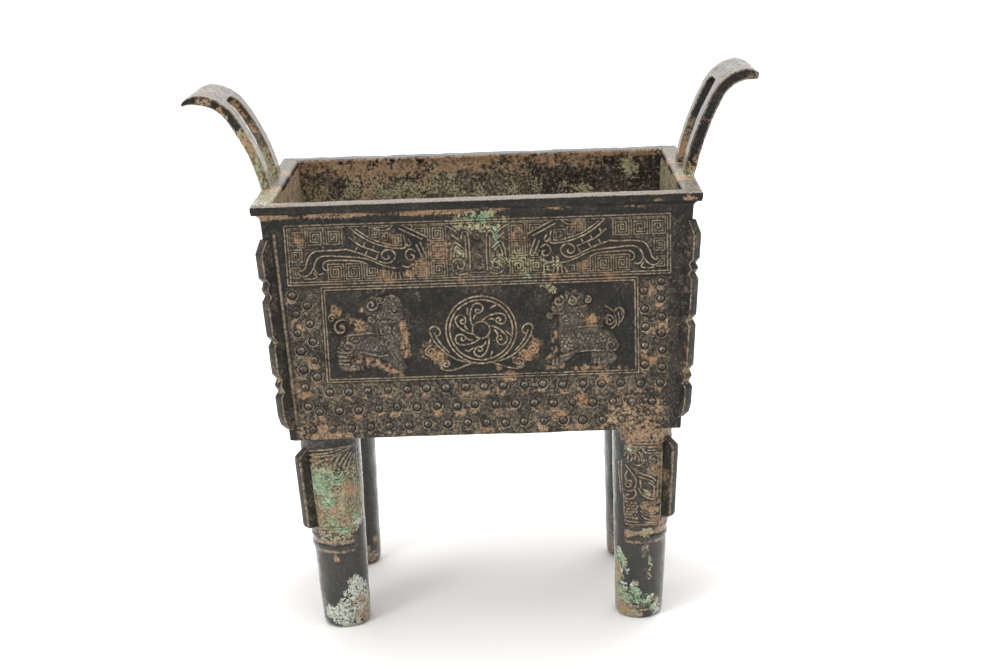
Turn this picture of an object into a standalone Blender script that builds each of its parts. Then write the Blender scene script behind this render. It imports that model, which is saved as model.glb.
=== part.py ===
"""Square bronze ding (fangding): a four-legged ritual vessel cast in one piece.

Metres, +Z up.  X runs along the long side, between the handle tips, and Y from
front to back.  The feet stand on z = 0.  Everything is fused into one solid.
"""
import math

import bmesh
import bpy
from mathutils import Matrix, Vector

# ---- driving dimensions -------------------------------------------------
# The left handle reaches further out than the right one, so the middle of the
# vessel lies this far right of the origin, which is midway between their tips.
MIDDLE_X = 0.00314

# Rim: a flat plate that turns out from the top of the walls.
RIM_HALF_X = 0.1500
RIM_HALF_Y = 0.0977
RIM_TOP = 0.3130
RIM_THICK = 0.0060
RIM_BAND = 0.0130           # rim edge to mouth edge

# Body: a box that narrows downwards.
BODY_TOP_X = 0.1442
BODY_TOP_Y = 0.0919
BODY_LOW_X = 0.1346
BODY_LOW_Y = 0.0849
BODY_BOTTOM = 0.1460
FLOOR_THICK = 0.0075

# Legs: round columns that lean in and taper to the foot.
LEG_TOP_X = 0.1098
LEG_TOP_Y = 0.0616
LEG_FOOT_X = 0.1053
LEG_FOOT_Y = 0.0571
LEG_TOP_RADIUS = 0.0212
LEG_FOOT_RADIUS = 0.0167
LEG_SIDES = 18
LEG_RINGS = ((0.0751, 0.0710), (0.0676, 0.0634))
LEG_RING_HEIGHT = 0.0009
FOOT_ROUNDING = 0.0030

# Flanges: one ridge down each corner of the body and one on each leg.
FLANGE_THICK = 0.0074
FLANGE_OUT = 0.0054
FLANGE_NOTCH = 0.0031
# Heights along the corner, by side: shoulder, the notch pair each side of the upper
# tooth, the single middle notch, and the notch pair each side of the lower tooth.
FLANGE_LEFT = {"shoulder": 0.1435, "upper": (0.1140, 0.1045), "middle": 0.0730,
               "lower": (0.0460, 0.0368)}
FLANGE_RIGHT = {"shoulder": 0.1475, "upper": (0.1180, 0.1110), "middle": 0.0788,
                "lower": (0.0428, 0.0345)}
FLANGE_FOOT = 0.0085
LEG_FLANGE_TURN = 38.0      # degrees from the X axis
LEG_FLANGE_THICK = 0.0062
LEG_FLANGE_OUT = 0.0082
LEG_FLANGE_LOW = 0.0785
LEG_FLANGE_HIGH = 0.1325

# Handles: curved straps on the short sides of the rim, slotted from the rim up.
HANDLE_HALF_WIDTH = 0.0326
SLOT_HALF_WIDTH = 0.0178
SLOT_SHIFT = 0.0025         # the slots sit a little towards the back
SLOT_CORNER = 0.0085
HANDLE_FOOT_X = 0.1470      # middle of the strap where it leaves the rim
HANDLE_LEAN = 11.8          # degrees off upright at the rim
HANDLE_RISE = 0.0560        # length of the gently bent lower stretch
HANDLE_HOOK = 0.0298        # radius of the hooked upper stretch
HANDLE_TIP = 0.0125         # length over which the strap thins to its edge
HANDLE_LEFT = {"sway": 22.0, "turn": 73.0, "thick": 0.0063, "slot_top": 0.3705}
HANDLE_RIGHT = {"sway": 17.0, "turn": 67.5, "thick": 0.0077, "slot_top": 0.3745}

# Relief on the walls.  Heights are above the wall, places are along it.
SINK = 0.0008               # how deep each raised form is rooted in the wall
BAND_HALF = 0.1262          # half length of the top band on the long walls
BAND_LOW = 0.1130
BAND_HIGH = 0.1506
PANEL_HALF = 0.1042
PANEL_LOW = 0.0430
PANEL_HIGH = 0.1080
FRAME_WIDTH = 0.0022
FRAME_HEIGHT = 0.0009
FIGURE_HEIGHT = 0.0010
SHORT_TRIM = 0.0497         # how much narrower the short walls' relief is, each side
WHORL_UP = 0.0758           # height of the whorl's centre on the wall
WHORL_RADIUS = 0.0238
WHORL_ARMS = 6
WHORL_SWEEP = 1.25          # how far round an arm trails, in radians
WHORL_SIDES = 24
HUB_RADIUS = 0.0060
BOSS_RADIUS = 0.0032
BOSS_HEIGHT = 0.0019
BOSS_SIDES = 5
BOSS_PITCH = 0.0128

BRONZE_COLOUR = (0.028, 0.024, 0.019, 1.0)


# ---- helpers -------------------------------------------------------------
def clear_scene():
    """Remove whatever the scene holds."""
    for item in list(bpy.data.objects):
        bpy.data.objects.remove(item, do_unlink=True)


def bronze():
    """Dark patinated bronze."""
    material = bpy.data.materials.new("patinated_bronze")
    material.use_nodes = True
    shader = material.node_tree.nodes["Principled BSDF"]
    shader.inputs["Base Color"].default_value = BRONZE_COLOUR
    shader.inputs["Roughness"].default_value = 0.5
    shader.inputs["Metallic"].default_value = 0.7
    return material


def add_object(name, bm):
    """Turn a bmesh into an object with its normals outwards."""
    bmesh.ops.recalc_face_normals(bm, faces=bm.faces)
    mesh = bpy.data.meshes.new(name)
    bm.to_mesh(mesh)
    bm.free()
    item = bpy.data.objects.new(name, mesh)
    bpy.context.collection.objects.link(item)
    return item


def tapered_box(name, low, high):
    """Box from low (half x, half y, z) to high (half x, half y, z)."""
    bm = bmesh.new()
    bmesh.ops.create_cube(bm, size=2.0)
    for vert in bm.verts:
        half_x, half_y, z = high if vert.co.z > 0.0 else low
        vert.co = Vector((vert.co.x * half_x, vert.co.y * half_y, z))
    return add_object(name, bm)


def plate(name, outline, thickness, place, back=None):
    """Flat outline extruded along its normal, then put in place.

    The plate spans -thickness/2..thickness/2 unless back says how far it
    reaches behind the outline's plane.
    """
    curve = bpy.data.curves.new(name, "CURVE")
    curve.dimensions = "2D"
    curve.fill_mode = "BOTH"
    curve.extrude = thickness / 2.0
    spline = curve.splines.new("POLY")
    spline.points.add(len(outline) - 1)
    for point, (x, y) in zip(spline.points, outline):
        point.co = (x, y, 0.0, 1.0)
    spline.use_cyclic_u = True
    shape = bpy.data.objects.new(name + "_curve", curve)
    bpy.context.collection.objects.link(shape)
    bm = bmesh.new()
    bm.from_mesh(shape.to_mesh())
    bpy.data.objects.remove(shape, do_unlink=True)
    bmesh.ops.remove_doubles(bm, verts=bm.verts, dist=1e-6)
    shift = 0.0 if back is None else thickness / 2.0 - back
    bmesh.ops.translate(bm, verts=bm.verts, vec=(0.0, 0.0, shift))
    bmesh.ops.transform(bm, matrix=place, verts=bm.verts)
    return add_object(name, bm)


def combine(target, tool, operation):
    """Exact boolean of target with tool, applied at once."""
    modifier = target.modifiers.new("combine", "BOOLEAN")
    modifier.operation = operation
    modifier.solver = "EXACT"
    modifier.object = tool
    graph = bpy.context.evaluated_depsgraph_get()
    result = bpy.data.meshes.new_from_object(target.evaluated_get(graph))
    target.modifiers.clear()
    target.data = result
    bpy.data.objects.remove(tool, do_unlink=True)


def frame_matrix(origin, right, up):
    """Matrix that carries a drawing's x, y and height onto a wall."""
    right = Vector(right).normalized()
    up = Vector(up).normalized()
    out = right.cross(up).normalized()
    matrix = Matrix((right, up, out)).transposed().to_4x4()
    matrix.translation = Vector(origin)
    return matrix


def wall_frames():
    """The four walls, seen from outside: their frames and half lengths."""
    rise = RIM_TOP - RIM_THICK - BODY_BOTTOM
    lean_x = BODY_TOP_X - BODY_LOW_X
    lean_y = BODY_TOP_Y - BODY_LOW_Y
    return {
        "front": frame_matrix((0, -BODY_LOW_Y, BODY_BOTTOM), (1, 0, 0), (0, -lean_y, rise)),
        "back": frame_matrix((0, BODY_LOW_Y, BODY_BOTTOM), (-1, 0, 0), (0, lean_y, rise)),
        "left": frame_matrix((-BODY_LOW_X, 0, BODY_BOTTOM), (0, -1, 0), (-lean_x, 0, rise)),
        "right": frame_matrix((BODY_LOW_X, 0, BODY_BOTTOM), (0, 1, 0), (lean_x, 0, rise)),
    }


def mirrored(outline):
    """The same outline on the other side of the wall's middle line."""
    return [(-x, y) for x, y in reversed(outline)]


def ribbon(points, widths):
    """Outline of a stroke through points, with a half width at each."""
    left, right = [], []
    last = len(points) - 1
    for index, point in enumerate(points):
        ahead = Vector(points[min(index + 1, last)])
        behind = Vector(points[max(index - 1, 0)])
        along = (ahead - behind).normalized()
        side = Vector((-along.y, along.x)) * widths[index]
        left.append(tuple(Vector(point) + side))
        right.append(tuple(Vector(point) - side))
    return left + right[::-1]


def circle(centre, radius, sides, start=0.0):
    """Points round a circle."""
    step = 2.0 * math.pi / sides
    return [(centre[0] + radius * math.cos(start + step * i),
             centre[1] + radius * math.sin(start + step * i)) for i in range(sides)]


# ---- body, rim and handles ----------------------------------------------------
def vessel_box():
    """Hollow box with tapering walls, a floor and a flat rim."""
    body = tapered_box("body", (BODY_LOW_X, BODY_LOW_Y, BODY_BOTTOM),
                       (BODY_TOP_X, BODY_TOP_Y, RIM_TOP - RIM_THICK / 2.0))
    rim = tapered_box("rim", (RIM_HALF_X, RIM_HALF_Y, RIM_TOP - RIM_THICK),
                      (RIM_HALF_X, RIM_HALF_Y, RIM_TOP))
    combine(body, rim, "UNION")
    mouth_x = RIM_HALF_X - RIM_BAND
    mouth_y = RIM_HALF_Y - RIM_BAND
    wall_x = BODY_TOP_X - mouth_x
    wall_y = BODY_TOP_Y - mouth_y
    drop = FLOOR_THICK / (RIM_TOP - BODY_BOTTOM)
    floor_x = BODY_LOW_X - wall_x + (BODY_TOP_X - BODY_LOW_X) * drop
    floor_y = BODY_LOW_Y - wall_y + (BODY_TOP_Y - BODY_LOW_Y) * drop
    over = 0.01
    flare = over / (RIM_TOP - BODY_BOTTOM)
    hollow = tapered_box(
        "hollow", (floor_x, floor_y, BODY_BOTTOM + FLOOR_THICK),
        (mouth_x + (BODY_TOP_X - BODY_LOW_X) * flare,
         mouth_y + (BODY_TOP_Y - BODY_LOW_Y) * flare, RIM_TOP + over))
    combine(body, hollow, "DIFFERENCE")
    return body


def handle_line(form):
    """Middle line of a handle from below the rim's top: a rise, then a hook."""
    points = [Vector((HANDLE_FOOT_X, RIM_TOP))]
    angle = math.radians(HANDLE_LEAN)
    sway = math.radians(form["sway"])
    hook = math.radians(form["turn"])
    for length, turn, pieces in ((HANDLE_RISE, sway, 4), (HANDLE_HOOK * hook, hook, 9)):
        for _ in range(pieces):
            angle += turn / pieces / 2.0
            step = Vector((math.sin(angle), math.cos(angle))) * (length / pieces)
            points.append(points[-1] + step)
            angle += turn / pieces / 2.0
    root = points[0] - (points[1] - points[0]).normalized() * 0.8 * RIM_THICK
    return [root] + points


def handle(name, side, form):
    """One strap handle, hooked outwards, with a slot open down to the rim."""
    line = handle_line(form)
    end = line[-1]
    half = form["thick"] / 2.0
    widths = [half * min(1.0, 0.12 + (end - point).length / HANDLE_TIP) for point in line]
    outline = ribbon(line, widths)
    upright = Matrix(((side, 0, 0, 0), (0, 0, 1, 0), (0, 1, 0, 0), (0, 0, 0, 1)))
    strap = plate(name, outline, 2.0 * HANDLE_HALF_WIDTH, upright)
    slot = []
    low = RIM_TOP - RIM_THICK
    corner_y = SLOT_HALF_WIDTH - SLOT_CORNER
    corner_z = form["slot_top"] - SLOT_CORNER
    for index in range(5):
        turn = math.pi / 2.0 * index / 4.0
        slot.append((corner_y + SLOT_CORNER * math.cos(turn),
                     corner_z + SLOT_CORNER * math.sin(turn)))
    slot = [(SLOT_HALF_WIDTH, low)] + slot
    slot = slot + mirrored(slot)
    across = Matrix(((0, 0, 1, side * 0.165), (1, 0, 0, SLOT_SHIFT), (0, 1, 0, 0), (0, 0, 0, 1)))
    cutter = plate(name + "_slot", slot, 0.08, across)
    combine(strap, cutter, "DIFFERENCE")
    return strap


# ---- legs and flanges -----------------------------------------------------------
def leg_radius(z):
    """Radius of the bare column at height z."""
    return LEG_FOOT_RADIUS + (LEG_TOP_RADIUS - LEG_FOOT_RADIUS) * z / BODY_BOTTOM


def leg_profile():
    """Half section of a leg from the foot up: radius and height."""
    points = [(0.0, 0.0), (LEG_FOOT_RADIUS - FOOT_ROUNDING, 0.0),
              (LEG_FOOT_RADIUS - 0.0007, 0.3 * FOOT_ROUNDING),
              (LEG_FOOT_RADIUS + 0.0002, FOOT_ROUNDING)]
    for high, low in reversed(LEG_RINGS):
        points.append((leg_radius(low), low))
        points.append((leg_radius(low) + LEG_RING_HEIGHT, low + 0.0004))
        points.append((leg_radius(high) + LEG_RING_HEIGHT, high - 0.0004))
        points.append((leg_radius(high), high))
    root = BODY_BOTTOM + FLOOR_THICK / 2.0
    points.append((leg_radius(root), root))
    points.append((0.0, root))
    return points


def leg_column(name, side_x, side_y):
    """Turned column, sheared so that it leans in towards the foot."""
    profile = leg_profile()
    mesh = bpy.data.meshes.new(name)
    mesh.from_pydata([(radius, 0.0, z) for radius, z in profile],
                     [(i, i + 1) for i in range(len(profile) - 1)], [])
    shape = bpy.data.objects.new(name + "_profile", mesh)
    bpy.context.collection.objects.link(shape)
    turn = shape.modifiers.new("turn", "SCREW")
    turn.steps = LEG_SIDES
    turn.render_steps = LEG_SIDES
    turn.use_merge_vertices = True
    turn.merge_threshold = 0.00001
    graph = bpy.context.evaluated_depsgraph_get()
    bm = bmesh.new()
    bm.from_mesh(shape.evaluated_get(graph).to_mesh())
    bpy.data.objects.remove(shape, do_unlink=True)
    bmesh.ops.remove_doubles(bm, verts=bm.verts, dist=1e-6)
    shear = Matrix.Identity(4)
    shear[0][2] = side_x * (LEG_TOP_X - LEG_FOOT_X) / BODY_BOTTOM
    shear[1][2] = side_y * (LEG_TOP_Y - LEG_FOOT_Y) / BODY_BOTTOM
    shear[0][3] = side_x * LEG_FOOT_X
    shear[1][3] = side_y * LEG_FOOT_Y
    bmesh.ops.transform(bm, matrix=shear, verts=bm.verts)
    return add_object(name, bm)


def slanted_plate(name, outline, thickness, origin, out, along):
    """Plate whose drawing x runs out and whose drawing y runs along an edge."""
    out = Vector(out).normalized()
    along = Vector(along).normalized()
    across = out.cross(along).normalized()
    matrix = Matrix((out, along, across)).transposed().to_4x4()
    matrix.translation = Vector(origin)
    return plate(name, outline, thickness, matrix)


def body_flange(name, side_x, side_y):
    """Notched ridge down a corner of the body."""
    form = FLANGE_LEFT if side_x < 0.0 else FLANGE_RIGHT
    full = FLANGE_OUT
    cut = FLANGE_OUT - FLANGE_NOTCH
    inner = -0.0030
    slope = 0.0038
    outline = [(inner, form["shoulder"]), (0.0, form["shoulder"]),
               (full, form["shoulder"] - 0.0090)]
    for above, below in (form["upper"], (form["middle"],) * 2, form["lower"]):
        outline += [(full, above + slope), (cut, above)]
        if above > below:
            outline += [(full - 0.0008, (above + below) / 2.0), (cut, below)]
        outline.append((full, below - slope))
    outline += [(full, FLANGE_FOOT + 0.0105), (full - 0.0016, FLANGE_FOOT + 0.0040),
                (0.0, FLANGE_FOOT), (inner, FLANGE_FOOT)]
    low = Vector((side_x * BODY_LOW_X, side_y * BODY_LOW_Y, BODY_BOTTOM))
    high = Vector((side_x * BODY_TOP_X, side_y * BODY_TOP_Y, RIM_TOP - RIM_THICK))
    return slanted_plate(name, outline, FLANGE_THICK, low, (side_x, side_y, 0.0), high - low)


def leg_flange(name, side_x, side_y):
    """Plain ridge on the outer corner of a leg, with a sloping top."""
    high = leg_radius(LEG_FLANGE_HIGH) + LEG_FLANGE_OUT
    low = leg_radius(LEG_FLANGE_LOW) + LEG_FLANGE_OUT
    inner = 0.0100
    outline = [(inner, LEG_FLANGE_LOW), (low - 0.0015, LEG_FLANGE_LOW),
               (low, LEG_FLANGE_LOW + 0.0020), (high, LEG_FLANGE_HIGH - 0.0035),
               (high - 0.0010, LEG_FLANGE_HIGH), (high - 0.0080, LEG_FLANGE_HIGH + 0.0050),
               (inner, LEG_FLANGE_HIGH + 0.0050)]
    foot = (side_x * LEG_FOOT_X, side_y * LEG_FOOT_Y, 0.0)
    lean = (side_x * (LEG_TOP_X - LEG_FOOT_X), side_y * (LEG_TOP_Y - LEG_FOOT_Y), BODY_BOTTOM)
    turn = math.radians(LEG_FLANGE_TURN)
    out = (side_x * math.cos(turn), side_y * math.sin(turn), 0.0)
    return slanted_plate(name, outline, LEG_FLANGE_THICK, foot, out, lean)


def teardrop(name, side_x, side_y):
    """Small drop-shaped bump that hangs under the rings on a leg's front."""
    z = 0.0570
    reach = leg_radius(z)
    bm = bmesh.new()
    bmesh.ops.create_uvsphere(bm, u_segments=6, v_segments=4, radius=1.0)
    for vert in bm.verts:
        narrow = 1.0 if vert.co.z > 0.0 else 0.75
        vert.co = Vector((vert.co.x * 0.0028 * narrow, vert.co.y * 0.0018, vert.co.z * 0.0044))
    lean_x = side_x * (LEG_FOOT_X + (LEG_TOP_X - LEG_FOOT_X) * z / BODY_BOTTOM)
    lean_y = side_y * (LEG_FOOT_Y + (LEG_TOP_Y - LEG_FOOT_Y) * z / BODY_BOTTOM + reach)
    bmesh.ops.translate(bm, verts=bm.verts, vec=(lean_x - side_x * 0.0005, lean_y, z))
    return add_object(name, bm)


# ---- relief ------------------------------------------------------------------------
def border(name, half, low, high, width, height, place):
    """Raised rectangular frame line."""
    outer = plate(name, [(-half, low), (half, low), (half, high), (-half, high)],
                  height + SINK, place, back=SINK)
    inset = [(-half + width, low + width), (half - width, low + width),
             (half - width, high - width), (-half + width, high - width)]
    cutter = plate(name + "_cut", inset, 0.02, place)
    combine(outer, cutter, "DIFFERENCE")
    return outer


def whorl(place):
    """Round whorl: a ring, a hub and arms that trail clockwise."""
    height = FIGURE_HEIGHT + SINK
    centre = (0.0, WHORL_UP)
    ring = plate("whorl_ring", circle(centre, WHORL_RADIUS, WHORL_SIDES), height, place, back=SINK)
    inner = plate("whorl_cut", circle(centre, WHORL_RADIUS - 0.0028, WHORL_SIDES), 0.02, place)
    combine(ring, inner, "DIFFERENCE")
    pieces = [ring]
    pieces.append(plate("hub", circle(centre, HUB_RADIUS, 8), height, place, back=SINK))
    for index in range(WHORL_ARMS):
        start = 2.0 * math.pi * index / WHORL_ARMS
        path = []
        for step in range(5):
            part = step / 4.0
            radius = HUB_RADIUS + 0.0018 + 0.0100 * part
            angle = start - WHORL_SWEEP * part * part
            path.append((radius * math.cos(angle), WHORL_UP + radius * math.sin(angle)))
        outline = ribbon(path, [0.0012, 0.0014, 0.0018, 0.0022, 0.0015])
        pieces.append(plate("arm", outline, height, place, back=SINK))
    return pieces


def crescent():
    """Boat-shaped scroll that cradles the whorl."""
    outer, inner = [], []
    for index in range(9):
        part = index / 8.0 - 0.5
        angle = math.radians(-90.0 + 122.0 * part)
        thin = 1.0 - 3.4 * part * part
        outer.append(((WHORL_RADIUS + 0.0095) * math.cos(angle) * 1.12,
                      WHORL_UP + 0.0075 + (WHORL_RADIUS + 0.0095) * math.sin(angle)))
        inner.append(((WHORL_RADIUS + 0.0095 - 0.0058 * thin) * math.cos(angle) * 1.12,
                      WHORL_UP + 0.0075 + (WHORL_RADIUS + 0.0095 - 0.0058 * thin) * math.sin(angle)))
    return outer + inner[::-1]


def lion():
    """Outline of the left lion, which faces the whorl with its tail raised."""
    return [
        (-0.0535, 0.0930), (-0.0500, 0.0860), (-0.0515, 0.0790), (-0.0560, 0.0770),
        (-0.0570, 0.0680), (-0.0530, 0.0560), (-0.0510, 0.0490), (-0.0610, 0.0485),
        (-0.0640, 0.0580), (-0.0680, 0.0650), (-0.0760, 0.0620), (-0.0780, 0.0540),
        (-0.0770, 0.0485), (-0.0900, 0.0480), (-0.0885, 0.0570), (-0.0925, 0.0640),
        (-0.0915, 0.0720), (-0.0945, 0.0780), (-0.0990, 0.0800), (-0.0998, 0.0880),
        (-0.0960, 0.0930), (-0.0895, 0.0900), (-0.0905, 0.0830), (-0.0850, 0.0800),
        (-0.0780, 0.0830), (-0.0720, 0.0840), (-0.0700, 0.0920), (-0.0680, 0.0990),
        (-0.0600, 0.1000)]


def bird():
    """Outline of the left bird in the band: beak in, wing up, tail trailing out."""
    return [
        (-0.0330, 0.1410), (-0.0365, 0.1365), (-0.0400, 0.1340), (-0.0425, 0.1250),
        (-0.0475, 0.1210), (-0.0500, 0.1155), (-0.0560, 0.1155), (-0.0570, 0.1200),
        (-0.0660, 0.1225), (-0.0790, 0.1235), (-0.0960, 0.1215), (-0.1060, 0.1165),
        (-0.1150, 0.1175), (-0.1140, 0.1230), (-0.1080, 0.1250), (-0.1110, 0.1325),
        (-0.1010, 0.1345), (-0.0860, 0.1315), (-0.0780, 0.1330), (-0.0850, 0.1440),
        (-0.0885, 0.1485), (-0.0770, 0.1460), (-0.0640, 0.1360), (-0.0560, 0.1370),
        (-0.0460, 0.1390), (-0.0430, 0.1450), (-0.0370, 0.1460)]


def mask():
    """Outline of the upright mask-like motif in the middle of the band."""
    right = [(0.0035, 0.1475), (0.0120, 0.1475), (0.0125, 0.1415), (0.0075, 0.1400),
             (0.0080, 0.1320), (0.0165, 0.1310), (0.0190, 0.1210), (0.0140, 0.1160),
             (0.0085, 0.1190), (0.0060, 0.1160)]
    return right + mirrored(right)


def boss_places(half, panel_half):
    """Boss centres on a wall: two staggered columns each side, three rows below."""
    places = []
    for row, high in enumerate((0.0338, 0.0203, 0.0069)):
        reach = half - 0.0155 - 0.0026 * (2 - row)
        count = 2 * round(reach / BOSS_PITCH) - row % 2
        for index in range(count + 1):
            places.append((-reach + 2.0 * reach * index / count, high))
    outer = panel_half + 0.0180
    inner = panel_half + 0.0066
    for side in (-1.0, 1.0):
        for index in range(6):
            places.append((side * outer, 0.1052 - 0.0123 * index))
        for index in range(5):
            places.append((side * inner, 0.0991 - 0.0123 * index))
    return places


def bosses(name, half, panel_half, place):
    """All the bosses of one wall as low cones."""
    bm = bmesh.new()
    for x, y in boss_places(half, panel_half):
        made = bmesh.ops.create_cone(
            bm, cap_ends=True, segments=BOSS_SIDES, radius1=BOSS_RADIUS * 1.14,
            radius2=0.0, depth=BOSS_HEIGHT + 0.4 * SINK)
        centre = place @ Vector((x, y, (BOSS_HEIGHT - 0.4 * SINK) / 2.0))
        matrix = Matrix.Translation(centre) @ place.to_3x3().to_4x4()
        bmesh.ops.transform(bm, matrix=matrix, verts=made["verts"])
    return add_object(name, bm)


def long_wall_relief(name, place):
    """Band with birds and mask, panel with lions and whorl, and the bosses."""
    height = FIGURE_HEIGHT + SINK
    pieces = [border(name + "_band", BAND_HALF, BAND_LOW, BAND_HIGH, FRAME_WIDTH / 2.0,
                     FRAME_HEIGHT, place),
              border(name + "_panel", PANEL_HALF, PANEL_LOW, PANEL_HIGH, FRAME_WIDTH,
                     FRAME_HEIGHT, place)]
    for outline in (bird(), lion()):
        pieces.append(plate("figure", outline, height, place, back=SINK))
        pieces.append(plate("figure", mirrored(outline), height, place, back=SINK))
    pieces.append(plate("mask", mask(), height, place, back=SINK))
    disc = whorl(place)
    combine(disc[0], plate("crescent", crescent(), height, place, back=SINK), "UNION")
    pieces += disc
    pieces.append(bosses(name + "_bosses", BODY_LOW_X, PANEL_HALF, place))
    return pieces


def short_wall_relief(name, place):
    """Plainer: the same frames and bosses round a whorl."""
    pieces = [border(name + "_band", BAND_HALF - SHORT_TRIM, BAND_LOW, BAND_HIGH,
                     FRAME_WIDTH / 2.0, FRAME_HEIGHT, place),
              border(name + "_panel", PANEL_HALF - SHORT_TRIM, PANEL_LOW, PANEL_HIGH,
                     FRAME_WIDTH, FRAME_HEIGHT, place)]
    pieces.append(plate("mask", mask(), FIGURE_HEIGHT + SINK, place, back=SINK))
    pieces += whorl(place)
    pieces.append(bosses(name + "_bosses", BODY_LOW_Y, PANEL_HALF - SHORT_TRIM, place))
    return pieces


# ---- build -------------------------------------------------------------------------
def build():
    """Fuse the whole casting into one closed solid."""
    clear_scene()
    ding = vessel_box()
    combine(ding, handle("handle_left", -1.0, HANDLE_LEFT), "UNION")
    combine(ding, handle("handle_right", 1.0, HANDLE_RIGHT), "UNION")
    for side_x in (-1.0, 1.0):
        for side_y in (-1.0, 1.0):
            combine(ding, leg_column("leg", side_x, side_y), "UNION")
            combine(ding, leg_flange("leg_flange", side_x, side_y), "UNION")
            combine(ding, teardrop("teardrop", side_x, side_y), "UNION")
            combine(ding, body_flange("body_flange", side_x, side_y), "UNION")
    frames = wall_frames()
    relief = []
    for wall in ("front", "back"):
        relief += long_wall_relief(wall, frames[wall])
    for wall in ("left", "right"):
        relief += short_wall_relief(wall, frames[wall])
    for piece in relief:
        combine(ding, piece, "UNION")
    ding.data.transform(Matrix.Translation((MIDDLE_X, 0.0, 0.0)))
    ding.name = "square_ding"
    ding.data.name = "square_ding"
    ding.data.materials.clear()
    ding.data.materials.append(bronze())


build()
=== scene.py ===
"""Looks of the square bronze ding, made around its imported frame.

The vessel is one casting.  Its visible skin is made here as closed pieces that run into
each other, as the metal does: walls, floor, rim, handles, legs and flanges.  Sizes are in
millimetres.  A place on a wall is u along it from its middle and v up it from its lower
edge.
"""
import math
from functools import partial

import bpy
import numpy as np
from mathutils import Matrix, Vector


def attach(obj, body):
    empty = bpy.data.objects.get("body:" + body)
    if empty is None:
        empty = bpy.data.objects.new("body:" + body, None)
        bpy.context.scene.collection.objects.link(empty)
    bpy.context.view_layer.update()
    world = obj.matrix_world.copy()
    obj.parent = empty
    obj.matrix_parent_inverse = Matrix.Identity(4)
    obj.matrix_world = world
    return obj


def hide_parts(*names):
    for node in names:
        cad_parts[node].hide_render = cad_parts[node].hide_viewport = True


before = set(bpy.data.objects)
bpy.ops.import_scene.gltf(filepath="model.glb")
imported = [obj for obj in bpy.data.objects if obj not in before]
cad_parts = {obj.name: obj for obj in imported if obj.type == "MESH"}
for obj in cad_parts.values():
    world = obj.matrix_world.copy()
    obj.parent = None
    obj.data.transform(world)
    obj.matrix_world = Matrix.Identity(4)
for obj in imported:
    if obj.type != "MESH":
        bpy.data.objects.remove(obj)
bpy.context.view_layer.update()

# ---- Walls ----------------------------------------------------------------------------
# Four walls of tin bronze, about 7 mm thick, that lean out towards the mouth.  They were
# cast in one pour with the rest, relief and all; the relief has since been rubbed on its
# high lines and silted up in its hollows.
MM = 0.001                  # metres
MIDDLE_X = 3.14             # the middle of the vessel; the handles reach out unevenly
BODY_BOTTOM, BODY_TOP = 146.0, 307.0
HALF_X_LOW, HALF_X_TOP = 134.6, 144.2
HALF_Y_LOW, HALF_Y_TOP = 84.9, 91.9
WALL_THICK = 7.2
COVE = 5.0                  # hollow curve by which a wall flares out under the rim
CORNER_ROUND = 1.2
MITRE_FADE = 3.0            # relief runs out over this distance from a corner
WALL_TRIANGLES = 188000
SHARP = math.radians(62.0)  # an edge turns at least this far to be shaded as one

BAND_HALF, BAND_LOW, BAND_HIGH = 126.6, 113.2, 150.6
PANEL_HALF, PANEL_LOW, PANEL_HIGH = 106.2, 41.8, 109.1
SHORT_TRIM = 49.7           # how much narrower the short walls' relief is, each side
LINE_GAP = 1.8              # between the two threads of a frame
THREAD_WIDTH, THREAD_RISE = 0.44, 0.42
FRET_HALF, FRET_GAP = 5.3, 1.74
WHORL_UP = 75.8
WHORL_TURNS = (99.0, 31.0, -25.0, -94.0, -154.0, 154.0)     # degrees, one for each arm
BOSS_RADIUS, BOSS_RISE, BOSS_PITCH = 3.0, 2.4, 13.3


def linear(code):
    """sRGB hex value to the linear colour that a shader takes."""
    parts = [int(code[i:i + 2], 16) / 255.0 for i in (1, 3, 5)]
    return (*(p / 12.92 if p < 0.04045 else ((p + 0.055) / 1.055) ** 2.4 for p in parts), 1.0)


def add_node(tree, kind, *values, out=None, **settings):
    """One shader node.  Its settings go by name, and its open inputs take the values in
    turn: a number, a colour, another node's output, or None to leave one as it is.  Gives
    back its first open output, or the one named."""
    made = tree.nodes.new("ShaderNode" + kind)
    for key, value in settings.items():
        setattr(made, key, value)
    for socket, value in zip([socket for socket in made.inputs if socket.enabled], values):
        if isinstance(value, bpy.types.NodeSocket):
            tree.links.new(value, socket)
        elif value is not None:
            socket.default_value = value
    return made.outputs[out] if out else [end for end in made.outputs if end.enabled][0]


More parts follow.
